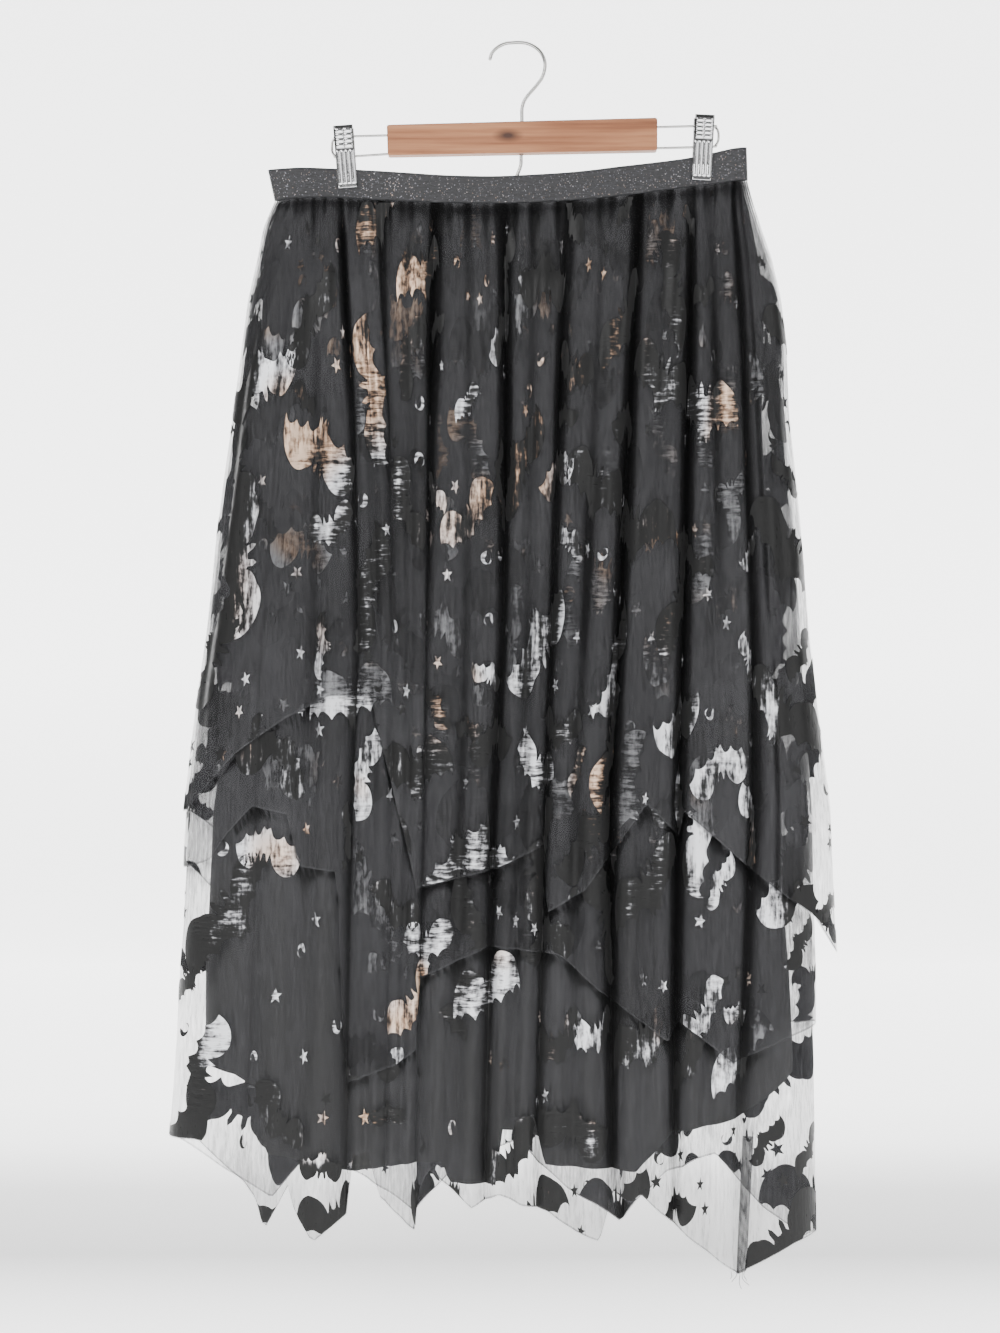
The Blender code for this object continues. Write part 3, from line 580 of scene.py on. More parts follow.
def batOutline(kind):
    # A bat of an ordinary sort, half its span long on each side.
    if kind == "broad":
        half = [(0.0, 0.20), (0.04, 0.21), (0.07, 0.34), (0.115, 0.40), (0.145, 0.32), (0.13, 0.20)]
        half += curve(((0.16, 0.16), (0.36, 0.38)), (0.20, 0.34), 6)
        half += curve(((0.36, 0.38), (0.74, 0.40)), (0.56, 0.54), 7)
        half += curve(((0.74, 0.40), (1.0, -0.16)), (1.02, 0.24), 8)
        half += curve(((1.0, -0.16), (0.76, -0.14)), (0.90, 0.04), 6)
        half += curve(((0.76, -0.14), (0.50, -0.20)), (0.62, 0.02), 6)
        half += curve(((0.50, -0.20), (0.22, -0.20)), (0.36, -0.02), 6)
        half += [(0.14, -0.24), (0.12, -0.38), (0.09, -0.30), (0.06, -0.40), (0.0, -0.30)]
    else:
        half = [(0.0, 0.12), (0.05, 0.14), (0.10, 0.30), (0.16, 0.12)]
        half += curve(((0.18, 0.10), (0.52, 0.50)), (0.26, 0.42), 7)
        half += curve(((0.52, 0.50), (1.0, 0.10)), (0.88, 0.52), 8)
        half += curve(((1.0, 0.10), (0.74, -0.14)), (0.80, 0.06), 6)
        half += curve(((0.74, -0.14), (0.42, -0.26)), (0.54, -0.04), 6)
        half += curve(((0.42, -0.26), (0.14, -0.26)), (0.28, -0.10), 6)
        half += [(0.09, -0.38), (0.0, -0.32)]
    return mirrored([tuple(p) for p in half])


def starOutline():
    return [(math.sin(k * math.pi / 5) * (1 if k % 2 == 0 else 0.42),
             math.cos(k * math.pi / 5) * (1 if k % 2 == 0 else 0.42)) for k in range(10)]


def moonOutline():
    outer = [(math.sin(a), math.cos(a)) for a in np.linspace(0.5, 2 * math.pi - 0.9, 16)]
    inner = [(0.42 + 0.72 * math.sin(a), 0.22 + 0.72 * math.cos(a))
             for a in np.linspace(2 * math.pi - 1.7, 1.1, 12)]
    return outer + inner


def filled(outlinePoints, size, step):
    # Flat points and triangles that fill an outline of the given half width, in mm.
    pts = np.array(outlinePoints, float) * size
    dense = []
    for a, b in zip(pts, np.roll(pts, -1, axis=0)):
        n = max(1, int(np.linalg.norm(b - a) // step))
        dense += [a + (b - a) * k / n for k in range(n)]
    dense = np.array(dense)
    low, high = dense.min(0), dense.max(0)
    inner = [(x + (0.5 * step if j % 2 else 0), y)
             for j, y in enumerate(np.arange(low[1] + step, high[1], step * 0.87))
             for x in np.arange(low[0] + step, high[0], step)]
    inner = [p for p in inner if np.linalg.norm(dense - p, axis=1).min() > 0.6 * step]
    verts = [Vector(p) for p in dense.tolist() + [tuple(p) for p in inner]]
    edges = [(k, (k + 1) % len(dense)) for k in range(len(dense))]
    out = delaunay_2d_cdt(verts, edges, [], 1, 1e-5)
    return np.array([v[:] for v in out[0]]), [tuple(f) for f in out[2]]


templates = {
    "largeBat": filled(batOutline("broad"), 64, 5.0), "midBat": filled(batOutline("sharp"), 44, 5.0),
    "smallBat": filled(batOutline("broad"), 27, 4.5), "star": filled(starOutline(), 7.0, 6.0),
    "moon": filled(moonOutline(), 6.2, 6.0),
}
print("prints drawn:", {k: len(v[1]) for k, v in templates.items()})


def scatter(rng, width, length, kinds):
    # Places for the prints on a flat panel, the large ones first, none on another.
    placed = []
    for kind, count, clear in kinds:
        for _ in range(count * 14):
            if count <= 0:
                break
            x, y = rng.uniform(0, width), rng.uniform(12, length)
            if all(math.hypot((x - a) / 1.25, y - b) > (clear + c) for a, b, c, _ in placed):
                placed.append((x, y, clear, kind))
                count -= 1
    return placed


def smoothNoise(pts, scale, seed):
    # Cheap smooth noise from crossing waves, from 0 to 1.
    rng = np.random.default_rng(seed)
    total = np.zeros(len(pts))
    for _ in range(5):
        wave = rng.normal(size=3) / scale
        total += np.sin(pts @ wave * 2 * math.pi + rng.uniform(0, 7))
    return 0.5 + total / 7.0


def litShare(pts, normals, falls, deep, seed):
    # Painted reflection and shade of a print over its area: the foil is painted bright where its
    # fold is turned to the light, in uneven patches, and painted black in the valleys, near the band
    # and near the hem.
    turned = np.sin(normals[:, 0] * 5.0 + 4.0 * smoothNoise(pts, 190.0, seed + 1))
    patches = smoothNoise(pts, 60.0, seed)
    height = np.interp(falls, (0, 90, 260, 700, 830, 980), (-0.10, -0.02, 0.04, 0.04, -0.02, -0.12))
    valley = np.clip((deep - 0.25) / 0.25, 0, 1)
    return 0.10 * turned + 0.42 * (patches - 0.5) + height - 0.45 * valley


def unbacked(place, falls, here, cols, backing):
    # 1 where the lining ends beside or above a place, else 0, with a soft change.
    down = -place[:, 2]
    left = at(outline, 1, down) + at(outline, 4, down)
    right = at(outline, 2, down) - at(outline, 5, down)
    beside = np.clip(np.maximum(left - place[:, 0], place[:, 0] - right) / 14 + 0.6, 0, 1)
    below = np.clip((falls - np.interp(here, cols, backing)) / 12 + 0.5, 0, 1)
    return np.maximum(beside, below)


def printTier(name, grid, hem, mat, facts, seed, backing, covers):
    # Foil prints of one panel, bent with the cloth and cut off at its hem. Their painted reflection
    # is taken to black where no lining backs them, and painted darker under the tiers that cover them.
    rng = np.random.default_rng(seed)
    cols = np.arange(len(grid["p"]), dtype=float)
    longest = float(hem.max())
    widest = float(grid["along"][int(0.8 * longest / rowStep)].max())
    points, faces, shine, warm, under = [], [], [], [], []
    kinds = [(kind, round(count * facts["prints"]), clear) for kind, count, clear in printKinds]
    for u, fall, _, kind in scatter(rng, widest, longest + 20, kinds):
        flat, tris = templates[kind]
        turn = rng.choice((0.0, math.pi)) + rng.normal() * 0.75
        size = rng.uniform(0.9, 1.12)
        flip = rng.choice((-1, 1))
        gathered = 0.62 + 0.38 * min(1.0, fall / 330.0)  # prints are pinched by the gathers
        dx = size * (flat[:, 0] * flip * math.cos(turn) - flat[:, 1] * math.sin(turn)) * gathered
        dy = size * (flat[:, 0] * flip * math.sin(turn) + flat[:, 1] * math.cos(turn))
        falls = fall - dy
        rows = np.clip(falls / rowStep, 0, len(grid["falls"]) - 1).round().astype(int)
        home = np.interp(u / widest * grid["along"][int(min(fall, longest) // rowStep)][-1],
                         grid["along"][int(min(fall, longest) // rowStep)], cols)
        here = np.array([np.interp(
            np.interp(home, cols, grid["along"][r]) + d, grid["along"][r], cols,
            left=-1, right=-1) for r, d in zip(rows, dx)])
        outside = here < 0
        here = np.where(outside, np.where(dx > 0, cols[-1], 0), here)
        limit = np.interp(here, cols, hem) - 1.0
        cut = (falls > limit) | (falls < 2) | outside
        falls = np.clip(falls, 2, limit)
        keep = [f for f in tris if not all(cut[i] for i in f)]
        if not keep:
            continue
        place = sample(grid, "pts", falls, here)
        normal = sample(grid, "normal", falls, here)
        normal /= np.linalg.norm(normal, axis=1)[:, None]
        start = len(points)
        points.extend(place + normal * 0.55)
        used = [tuple(start + i for i in (f if flip > 0 else f[::-1])) for f in keep]
        faces.extend(used)
        deep = sample(grid, "deep", falls, here)
        # painted reflection and shade: lit sets how bright each print is painted, whole prints lit or
        # unlit, black where no lining backs them, darker where a tier covers them
        lit = litShare(place, normal, falls, deep, seed)
        small = kind in ("star", "moon")
        lit = lit * (0.4 if small else 1.0)
        lit += 0.60 if rng.random() < (0.85 if small else facts["lit"]) else 0.20
        lit -= 0.7 * unbacked(place, falls, here, cols, backing)
        covered = falls < np.interp(here, cols, covers)
        shine.extend(np.clip(lit - 0.10 * covered, 0, 1))
        under.extend(covered)
        tint = smoothNoise(place, 150.0, seed + 5) + 0.35 * np.clip(1 - falls / 420, 0, 1)
        warm.extend(np.clip((tint - 0.62) * 3.2, 0, 1))
    obj = newObject(name, points, faces, mat)
    addAttribute(obj, "shine", shine)
    addAttribute(obj, "warm", warm)
    addAttribute(obj, "under", under)
    bm = bmesh.new()
    bm.from_mesh(obj.data)
    bmesh.ops.dissolve_degenerate(bm, dist=2e-5, edges=bm.edges)
    loose = [v for v in bm.verts if not v.link_faces]
    bmesh.ops.delete(bm, geom=loose, context="VERTS")
    bm.to_mesh(obj.data)
    bm.free()
    return obj


# ---- cloth -----------------------------------------------------------------------------------

tierHems = {
    "upper": {
        -1: ((-300, 690), (-258, 639), (-210, 606), (-172, 586), (-134, 586), (-114, 660),
             (-89, 755), (-17, 737), (22, 717), (26, 776), (57, 757), (112, 681), (142, 711),
             (145, 688), (237, 764), (260, 781), (287, 832)),
        1: ((-300, 690), (-236, 742), (-176, 700), (-120, 640), (-60, 612), (0, 668), (52, 744),
            (108, 690), (160, 640), (214, 690), (256, 770), (287, 832))},
    "middle": {
        -1: ((-304, 740), (-279, 732), (-265, 708), (-240, 684), (-208, 691), (-198, 737),
             (-162, 741), (-156, 866), (-151, 926), (-106, 909), (-90, 896), (-88, 834),
             (-28, 806), (35, 813), (70, 845), (131, 890), (141, 873), (193, 910), (239, 888),
             (273, 878)),
        1: ((-304, 740), (-250, 800), (-196, 872), (-140, 846), (-84, 780), (-20, 820),
            (40, 892), (100, 846), (150, 796), (206, 838), (250, 886), (273, 878))},
    "lower": {
        -1: ((-321, 981), (-287, 979), (-273, 990), (-245, 1014), (-232, 1030), (-225, 1057),
             (-204, 1018), (-198, 1041), (-182, 1066), (-152, 1042), (-146, 990), (-134, 985),
             (-122, 1026), (-92, 1055), (-88, 1018), (-79, 1001), (-56, 1022), (-42, 1035),
             (-18, 1023), (1, 1032), (25, 1038), (50, 1056), (70, 1064), (83, 1022), (97, 1031),
             (106, 1024), (147, 1061), (193, 1097), (220, 1082), (243, 1071), (274, 1063)),
        1: ((-321, 981), (-270, 1020), (-226, 1046), (-190, 1004), (-140, 1030), (-96, 1060),
            (-50, 1012), (0, 996), (44, 1040), (92, 1068), (136, 1024), (180, 1006),
            (224, 1056), (258, 1078), (274, 1063))},
    "lining": {
        -1: ((-287, 915), (-236, 926), (-225, 990), (-153, 1005), (-94, 997), (-68, 995),
             (-62, 1014), (-21, 1016), (-14, 958), (12, 955), (22, 998), (103, 1005),
             (135, 972), (192, 961), (248, 920)),
        1: ((-287, 915), (-220, 960), (-120, 990), (-20, 984), (80, 996), (180, 970),
            (248, 920))},
}
layers = {
    "upper": {"layer": 0, "nominal": 700, "colour": (0.058, 0.058, 0.061), "solid": 0.29,
              "slot": "tulle_upper", "prints": 0.85, "lit": 0.52},
    "middle": {"layer": 1, "nominal": 840, "colour": (0.053, 0.053, 0.056), "solid": 0.28,
               "slot": "tulle_middle", "prints": 0.85, "lit": 0.56},
    "lower": {"layer": 2, "nominal": 1030, "colour": (0.062, 0.062, 0.066), "solid": 0.27,
              "slot": "tulle_lower", "prints": 1.0, "lit": 0.46},
}
printKinds = (("largeBat", 40, 37.0), ("midBat", 30, 25.0), ("smallBat", 40, 17.0),
              ("star", 100, 8.0), ("moon", 50, 8.0))
sideNames = {-1: "front", 1: "back"}


sideSeam = {  # the seam that shows at the right of the front
    "down": (120, 165, 216, 302, 471, 600), "x": (196, 201, 206, 210, 219, 228),
    "half": 1.6, "dark": 0.5,
}


def panelMesh(name, grid, hem, mat, covers=0.0):
    # The cloth of one panel down to its hem, with a narrow denser strip along the cut edge.
    cols = len(grid["p"])
    rows = int(math.ceil(hem.max() / 7.0))
    t = np.linspace(0, 1, rows)[:, None]
    falls = t * (hem[None, :] - 2.2)
    falls = np.concatenate([falls, hem[None, :] - 1.4, hem[None, :]])
    places = np.tile(np.arange(cols, dtype=float), (rows + 2, 1))
    pts = sample(grid, "pts", falls, places)
    cloth = newObject(name, pts.reshape(-1, 3), gridFaces(rows + 2, cols, grid["side"] > 0), mat)
    below = falls - covers  # just below the hem of the tier outside, its shadow falls
    shadow = np.where(below > 0, np.exp(-below / 7.0), 0.0)
    # painted shadow and shade: the hem shadow and the fold depth go into the deep attribute that
    # darkens the net
    deep = sample(grid, "deep", falls, places) + 0.75 * shadow
    seam = np.interp(-pts[..., 2], sideSeam["down"], sideSeam["x"])
    line = np.exp(-(((pts[..., 0] - seam) / sideSeam["half"]) ** 2))
    deep = deep + sideSeam["dark"] * line * (grid["side"] < 0) * (grid["layer"] == 0)
    addAttribute(cloth, "deep", np.clip(deep, 0, 1).ravel())
    addAttribute(cloth, "edge", np.repeat(np.arange(rows + 2) >= rows, cols))
    return cloth


seamStrip = {  # the lower tier's seam, a narrow dark strip that shows down to the right tip
    "x": (203, 199, 196), "down": (960, 1040, 1100), "half": 4.6, "from": 975, "lift": 0.9,
}
looseThreads = (  # x, length and sideways drift of the threads at the tip, in mm
    (191.5, 9, -3.0), (194.0, 15, 2.5), (196.5, 12, 6.0), (199.0, 8, 1.0), (188.0, 6, -2.0),
)


def buildStrip(grid, hem, mat):
    cols = np.arange(len(grid["p"]), dtype=float)
    downs = np.linspace(seamStrip["from"], 1110, 24)
    rows = []
    for down in downs:
        line = grid["pts"][np.clip(((down - grid["top"]) / rowStep).round().astype(int), 0,
                                   len(grid["falls"]) - 1), np.arange(len(cols))]
        middle = np.interp(down, seamStrip["down"], seamStrip["x"])
        sides = middle + seamStrip["half"] * np.array((-1.0, -0.4, 0.3, 1.0))
        here = np.interp(sides, line[:, 0], cols)
        fall = np.minimum(down - np.interp(here, cols, grid["top"]), np.interp(here, cols, hem) + 1)
        place = sample(grid, "pts", fall, here)
        normal = sample(grid, "normal", fall, here)
        rows.append(place + normal * seamStrip["lift"])
    points = np.concatenate(rows)
    strip = newObject("lowerSeamStrip", points, gridFaces(len(rows), 4, False), mat)
    # uneven darkening along the strip, through the deep attribute that carries the net's painted shade
    addAttribute(strip, "deep", 0.30 + 0.12 * np.sin(np.arange(len(points)) * 2.4))
    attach(strip, "root")
    print("seam strip built")
    return points[-3]


def buildThreads(tip, mat):
    for k, (x, long, drift) in enumerate(looseThreads):
        path = [(x + drift * t * t + 0.8 * math.sin(5 * t + k), -tip[2] - 2 + long * t)
                for t in np.linspace(0, 1, 9)]
        thread = wire(f"looseThread{k + 1}", path, 0.22, mat, 6)
        thread.data.transform(Matrix.Translation((0, (tip[1] - 0.4) * mm, 0)))
        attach(thread, "root")
    print("loose threads built")


def clothArea(obj):
    bm = bmesh.new()
    bm.from_mesh(obj.data)
    area = sum(f.calc_area() for f in bm.faces)
    bm.free()
    return area


def buildTiers():
    foil = foilMaterial("foilPrint")
    nets = {name: netMaterial("net" + name.capitalize(), facts["colour"], facts["solid"])
            for name, facts in layers.items()}
    for side in (-1, 1):
        linings = workingGrid(3, side, max(d for _, d in tierHems["lining"][side]) - 115.0)
        backing = hemFalls(linings, tierHems["lining"][side], 980)
        covers = np.zeros(len(backing))
        for name, facts in layers.items():
            points = tierHems[name][side]
            grid = workingGrid(facts["layer"], side, max(d for _, d in points) - 115.0)
            hem = hemFalls(grid, points, facts["nominal"])
            node = f"{name}_tier_{sideNames[side]}"
            cloth = panelMesh(node + "_net", grid, hem, nets[name], covers)
            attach(cloth, "root")
            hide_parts(node)
            area = clothArea(cloth)
            prints = printTier(node + "_prints", grid, hem, foil, facts,
                               40 + facts["layer"] * 10 + side, backing, covers)
            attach(prints, "root")
            covers = np.maximum(covers, hem)
            if side < 0 and name == "lower":
                dense = netMaterial("netSeam", (0.035, 0.035, 0.037), 0.74)
                buildThreads(buildStrip(grid, hem, dense), liningMaterial())
        print("tiers built:", sideNames[side])


def buildLining():
    mat = liningMaterial()
    for side in (-1, 1):
        points = tierHems["lining"][side]
        grid = workingGrid(3, side, max(d for _, d in points) - 115.0)
        hem = hemFalls(grid, points, 980)
        cloth = panelMesh(f"lining_{sideNames[side]}_cloth", grid, hem, mat)
        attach(cloth, "root")
        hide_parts(f"lining_{sideNames[side]}")
        area = clothArea(cloth)
    print("lining built")


def buildWaistband():
    # The elastic tube with fine ribs along it, a little puckered by the gathers below.
    shares = np.concatenate([np.linspace(0, 0.02, 8), np.linspace(0.02, 0.98, 180)[1:],
                             np.linspace(0.98, 1, 8)[1:]])
    stations = [(-1, s) for s in shares] + [(1, s) for s in shares[-2:0:-1]]
    rows = 13
    ribs = {"depth": 0.25, "count": 5}
    rings = []
    for inward in (0.0, 2.0):
        for r in range(rows):
            t = r / (rows - 1)
            ring = []
            for side, share in stations:
                edge = []
                for table in (bandTop, bandBottom):
                    left, right = table[0, 0] + inward, table[-1, 0] - inward
                    x = left + (right - left) * share
                    deep = np.interp(x, bandDepth[:, 0], bandDepth[:, 1]) - inward
                    reach = min(x - left, right - x)
                    rounded = math.sqrt(max(0.0, 1 - (1 - min(1.0, reach / 5.0)) ** 2))
                    edge.append((x, side * deep * rounded, -bandEdge(table, x)))
                top, low = np.array(edge[0]), np.array(edge[1])
                point = top + (low - top) * t
                if inward == 0.0:
                    wave = ribs["depth"] * abs(math.sin(math.pi * ribs["count"] * t)) - ribs["depth"]
                    pucker = 0.35 * math.sin(point[0] * 0.55) * t * t
                    point[1] += side * (wave + pucker * 0.5) * rounded
                ring.append(point)
            rings.append(ring)
    n = len(stations)
    points = [p for ring in rings for p in ring]
    faces = []
    for r in range(rows - 1):
        for k in range(n):
            a, b = r * n + k, r * n + (k + 1) % n
            faces.append((a, a + n, b + n, b))
            c, d = (rows + r) * n + k, (rows + r) * n + (k + 1) % n
            faces.append((c, d, d + n, c + n))
    for k in range(n):
        a, b = k, (k + 1) % n
        faces.append((a, b, rows * n + b, rows * n + a))
        a, b = (rows - 1) * n + k, (rows - 1) * n + (k + 1) % n
        faces.append((a, rows * n + a, rows * n + b, b))
    band = newObject("waistbandElastic", points, faces, elasticMaterial())
    heights = [min(1.0, abs(r / (rows - 1) - 0.5) * 2.4 - 0.2) ** 6 for r in range(rows)] * 2
    addAttribute(band, "plain", np.repeat(heights, n))
    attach(band, "root")
    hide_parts("waistband")
    print("waistband built")


# ---- hanger ----------------------------------------------------------------------------------

hookWire = {
    "radius": 1.5,
    "path": ((-26.1, 13.5), (-24.2, 8.0), (-19.6, 3.1), (-12.6, -0.4), (-4.5, -1.4), (0.0, -1.5),
             (6.3, -0.9), (13.5, 2.1), (19.4, 7.2), (22.8, 14.0), (23.4, 20.7), (21.0, 29.7),
             (15.3, 37.8), (9.0, 45.0), (4.6, 51.5), (2.7, 58.5), (2.6, 69.3), (2.0, 99.9),
             (1.6, 108.9), (-1.0, 116.5), (-4.4, 124.0), (-4.4, 131.0), (-0.4, 135.0),
             (4.2, 132.6)),
}
loopWire = {
    "radius": 1.05,
    "left": ((-110.9, 81.9), (-160.6, 83.4), (-165.6, 84.9), (-168.0, 88.8), (-168.1, 96.3),
             (-165.7, 100.3), (-160.6, 101.6), (-110.9, 98.4)),
    "right": ((116.3, 74.9), (172.0, 73.6), (177.0, 75.2), (179.4, 79.2), (179.4, 86.4),
              (177.0, 90.8), (172.0, 92.3), (116.3, 93.8)),
}
clip = {
    "width": 17.4, "metal": 1.1,
    "left": ((-158.1, 74.7), (-153.9, 130.0)), "right": ((166.8, 65.2), (163.9, 123.1)),
    "profile": ((0.0, 8.6), (0.06, 8.8), (0.22, 7.6), (0.44, 6.0), (0.62, 4.7), (0.76, 3.9),
                (0.93, 3.75), (1.0, 4.5)),
    "bumpRows": {"left": 4, "right": 5}, "flutes": 4,
}


def smoothPath(path, steps):
    # The same path with rounded bends.
    pts = np.array(path, float)
    out = []
    for k in range(len(pts) - 1):
        p0, p1 = pts[max(k - 1, 0)], pts[k]
        p2, p3 = pts[k + 1], pts[min(k + 2, len(pts) - 1)]
        for t in np.arange(steps) / steps:
            out.append(0.5 * (2 * p1 + (p2 - p0) * t + (2 * p0 - 5 * p1 + 4 * p2 - p3) * t * t
                              + (3 * p1 - p0 - 3 * p2 + p3) * t ** 3))
    return np.array(out + [pts[-1]])


def wire(name, path, radius, mat, sides=20):
    # A round wire in the hanger's plane with rounded ends.
    pts = np.array([(x, -d) for x, d in path])
    step = np.gradient(pts, axis=0)
    step /= np.linalg.norm(step, axis=1)[:, None]
    rings = []
    ends = ((-1.0, 0.02), (-0.75, 0.62), (-0.3, 0.93))
    for k, (at2, along) in enumerate(zip(pts, step)):
        across = np.array((-along[1], along[0]))
        stops = [(0.0, 1.0)]
        if k == 0:
            stops = [(o * radius * 0.9, r) for o, r in ends] + stops
        if k == len(pts) - 1:
            stops = stops + [(-o * radius * 0.9, r) for o, r in reversed(ends)]
        for shift, share in stops:
            centre = at2 + along * shift
            rings.append([(centre[0] + across[0] * radius * share * math.cos(a),
                           radius * share * math.sin(a),
                           centre[1] + across[1] * radius * share * math.cos(a))
                          for a in np.linspace(0, 2 * math.pi, sides, endpoint=False)])
    points = [p for ring in rings for p in ring]
    faces = [(r * sides + s, r * sides + (s + 1) % sides, (r + 1) * sides + (s + 1) % sides,
              (r + 1) * sides + s) for r in range(len(rings) - 1) for s in range(sides)]
    faces += [tuple(reversed(range(sides))),
              tuple((len(rings) - 1) * sides + s for s in range(sides))]
    piece = newObject(name, points, faces, mat)
    # painted shade: darker toward the wire's outline as seen from the front
    outlineShade = np.abs(np.cos(np.linspace(0, 2 * math.pi, sides, endpoint=False)))
    addAttribute(piece, "rim", np.tile(outlineShade, len(rings)))
    return piece


def clipRelief(u, v, rows, flutes):
    # Height of the pressed pattern at u across and v along a jaw, both from 0 to 1.
    height = 0.0
    side = min(u, 1 - u)
    if 0.05 < v < 0.36:
        t = (v - 0.05) / 0.31 * rows
        ridge = max(0.0, math.sin(math.pi * (t % 1.0))) ** 0.6
        column = max(0.0, math.sin(math.pi * ((u - 0.08) / 0.84 * 2 % 1.0))) ** 0.5
        height = 0.75 * ridge * column if side > 0.08 else 0.0
    elif 0.39 < v < 0.945:
        fade = min(1.0, (v - 0.39) / 0.03, (0.945 - v) / 0.02)
        t = (u - 0.04) / 0.92 * flutes
        height = 0.95 * fade * max(0.0, math.sin(math.pi * (t % 1.0))) ** 0.55
    elif v > 0.955:
        height = 0.35
    return height - 0.55 * max(0.0, 1 - side / 0.05)


def buildClips(mat):
    # Pressed sheet jaws: rows of bumps at the top, flutes below them, a plain lip.
    across, down = 49, 97
    for which in ("left", "right"):
        (x0, d0), (x1, d1) = clip[which]
        axis = np.array((x1 - x0, -(d1 - d0)))
        wide = np.array((-axis[1], axis[0])) / np.linalg.norm(axis)
        shares, insides = zip(*clip["profile"])
        for face, side in (("Front", -1), ("Back", 1)):
            outer, inner, grooveShade = [], [], []
            for r in range(down):
                v = r / (down - 1)
                inside = float(np.interp(v, shares, insides))
                for c in range(across):
                    u = c / (across - 1)
                    x, z = np.array((x0, -d0)) + axis * v + wide * clip["width"] * (u - 0.5)
                    relief = clipRelief(u, v, clip["bumpRows"][which], clip["flutes"])
                    outer.append((x, side * (inside + clip["metal"] - 0.2 + relief), z))
                    inner.append((x, side * inside, z))
                    # painted shade: darker where the pressed relief is low, in the grooves and at the
                    # jaw's edges
                    grooveShade.append(0.78 * max(0.0, 1 - relief / 0.62))
            n = len(outer)
            faces = gridFaces(down, across, False) + [tuple(i + n for i in f)
                                                      for f in gridFaces(down, across, True)]
            rim = list(range(across)) + [r * across + across - 1 for r in range(1, down)]
            rim += [(down - 1) * across + c for c in range(across - 2, -1, -1)]
            rim += [r * across for r in range(down - 2, 0, -1)]
            faces += [(a, a + n, b + n, b) for a, b in zip(rim, rim[1:] + rim[:1])]
            piece = newObject(f"clip{face}{which.capitalize()}", outer + inner, faces, mat)
            # the inner face gets a fixed, milder painted shade
            addAttribute(piece, "rim", grooveShade + [0.5] * n)
            bm = bmesh.new()
            bm.from_mesh(piece.data)
            bmesh.ops.recalc_face_normals(bm, faces=bm.faces)
            bm.to_mesh(piece.data)
            bm.free()
            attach(piece, "root")
            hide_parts(f"clip_{face.lower()}_{which}")
    print("clips built")


def buildHanger():
    steel = metalMaterial("hookSteel", (0.74, 0.73, 0.71), 0.16)
    chrome = metalMaterial("clipChrome", (0.86, 0.86, 0.87), 0.12)
    hook = wire("hookBend", smoothPath(hookWire["path"], 6), hookWire["radius"], steel)
    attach(hook, "root")
    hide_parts("hanger_hook")
    for which in ("left", "right"):
        loop = wire(f"clipLoop{which.capitalize()}", smoothPath(loopWire[which], 8),
                    loopWire["radius"], steel, 16)
        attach(loop, "root")
        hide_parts(f"clip_loop_{which}")
        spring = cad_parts[f"clip_spring_{which}"]
        spring.data.materials.clear()
        spring.data.materials.append(steel)
    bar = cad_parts["hanger_bar"]
    bar.data.materials.clear()
    bar.data.materials.append(woodMaterial())
    buildClips(chrome)
    print("hanger built")


# ---- stage -----------------------------------------------------------------------------------


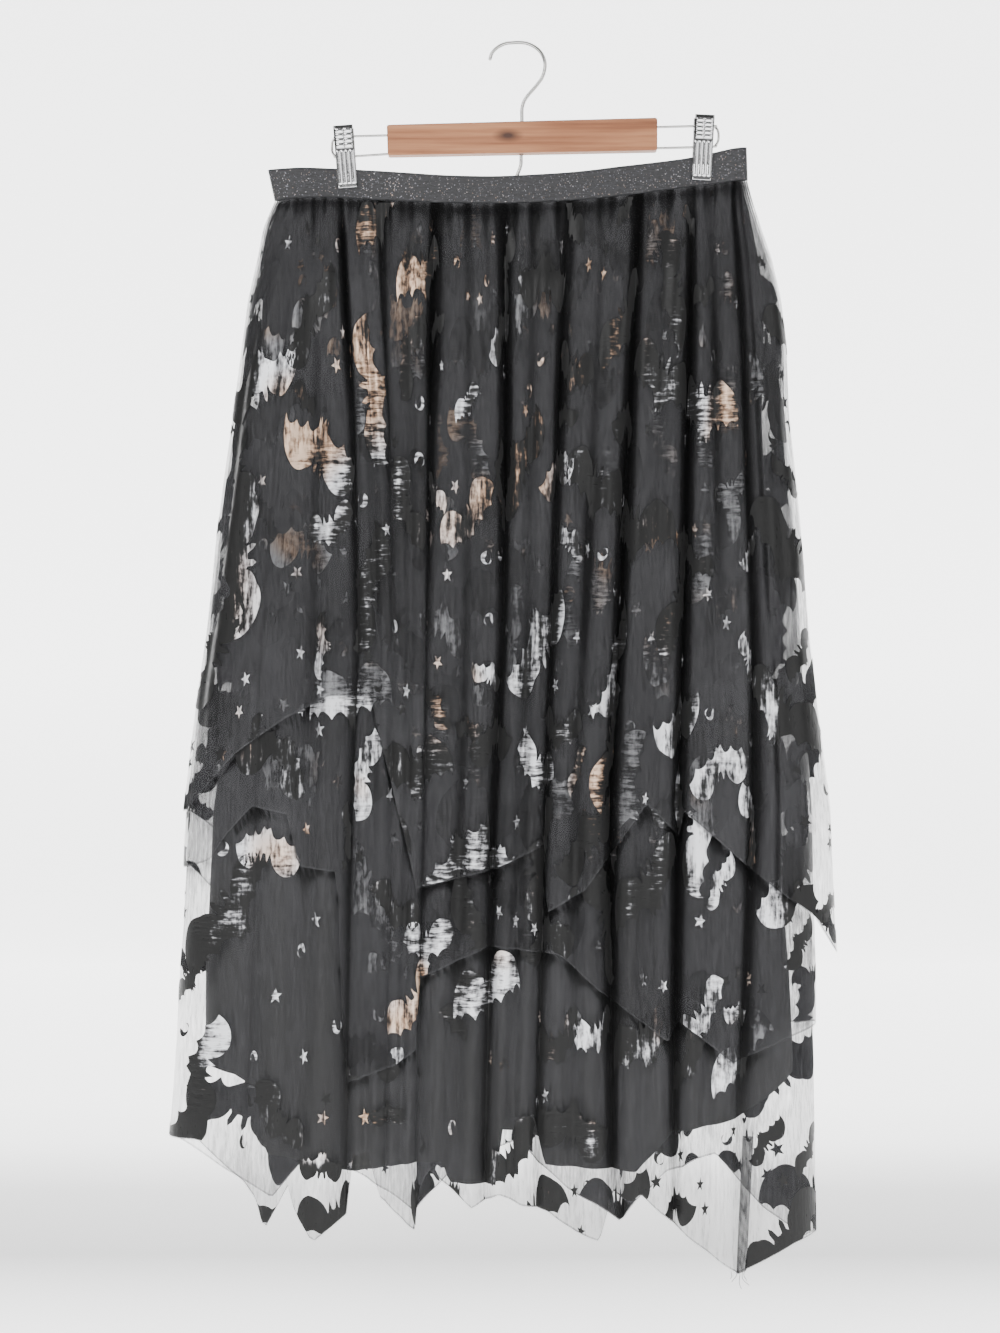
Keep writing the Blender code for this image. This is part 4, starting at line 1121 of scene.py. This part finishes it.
def buildStage():
    # A pale, light-giving floor that curves up into a pale backdrop, with a painted shadow on the
    # floor; soft lights and the camera.
    floorZ, wallY, bend = -1.165, 3.6, 0.6
    profile = [(-4.5, floorZ), (wallY - bend, floorZ)]
    profile += [(wallY - bend + bend * math.sin(a), floorZ + bend - bend * math.cos(a))
                for a in np.linspace(0.1, math.pi / 2, 12)]
    profile += [(wallY, 3.4)]
    points = [(x * 1000, y * 1000, z * 1000) for y, z in profile for x in (-6.0, 6.0)]
    faces = [(2 * k, 2 * k + 1, 2 * k + 3, 2 * k + 2) for k in range(len(profile) - 1)]
    mat, nodes, links, shader = startMaterial("paleBackdrop")
    shader.inputs["Base Color"].default_value = (0.85, 0.85, 0.85, 1)
    shader.inputs["Roughness"].default_value = 0.9
    shader.inputs["Specular IOR Level"].default_value = 0.1
    coords = nodes.new("ShaderNodeTexCoord")
    axes = nodes.new("ShaderNodeSeparateXYZ")
    links.new(coords.outputs["Object"], axes.inputs["Vector"])
    depth = mathNode(nodes, links, "ADD", axes.outputs["Y"], axes.outputs["Z"])
    height = mathNode(nodes, links, "ADD", depth, 1.165)  # metres along the floor, then up
    # painted shadow: the backdrop's light is lowered in a band on the floor behind the skirt
    glowAndShadow = ramp(nodes, links, mathNode(nodes, links, "MULTIPLY", height, 0.5), (
        (0.0, grey(0.80)), (0.07, grey(0.60)), (0.17, grey(0.22)), (0.34, grey(0.36)),
        (0.50, grey(0.84)), (0.66, grey(1.0))))
    links.new(glowAndShadow, shader.inputs["Emission Color"])
    shader.inputs["Emission Strength"].default_value = 3.0
    sweep = newObject("paleSweep", points, faces, mat)

    lamps = (  # name, place, aim, size, power
        ("key", (-1.5, -2.2, 1.1), (0, 0, -0.5), 1.6, 46),
        ("fill", (1.9, -2.0, 0.4), (0, 0, -0.6), 1.8, 26),
        ("top", (0.1, -0.2, 1.9), (0, 0, -0.6), 1.6, 22),
        ("low", (0.0, -2.6, -0.9), (0, 0, -0.7), 1.4, 12),
    )
    for name, place, aim, size, power in lamps:
        light = bpy.data.lights.new(name, "AREA")
        light.shape, light.size, light.energy = "SQUARE", size, power
        lamp = bpy.data.objects.new(name, light)
        lamp.location = place
        lamp.rotation_euler = (Vector(aim) - Vector(place)).to_track_quat("-Z", "Y").to_euler()
        bpy.context.scene.collection.objects.link(lamp)
    world = bpy.data.worlds.new("softRoom")
    world.use_nodes = True
    sky = next(n for n in world.node_tree.nodes if n.type == "BACKGROUND")
    sky.inputs["Color"].default_value = (1, 1, 1, 1)
    sky.inputs["Strength"].default_value = 0.20
    bpy.context.scene.world = world

    data = bpy.data.cameras.new("camera")
    data.sensor_fit, data.sensor_height, data.lens = "VERTICAL", 36.0, 72.0
    data.clip_end = 20.0
    camera = bpy.data.objects.new("camera", data)
    camera.location = (-0.0171, -2.4, -0.56025)
    camera.rotation_euler = (math.radians(90), 0, 0)
    bpy.context.scene.collection.objects.link(camera)
    bpy.context.scene.camera = camera
    print("stage built")


buildStage()
buildWaistband()
buildLining()
buildTiers()
buildHanger()
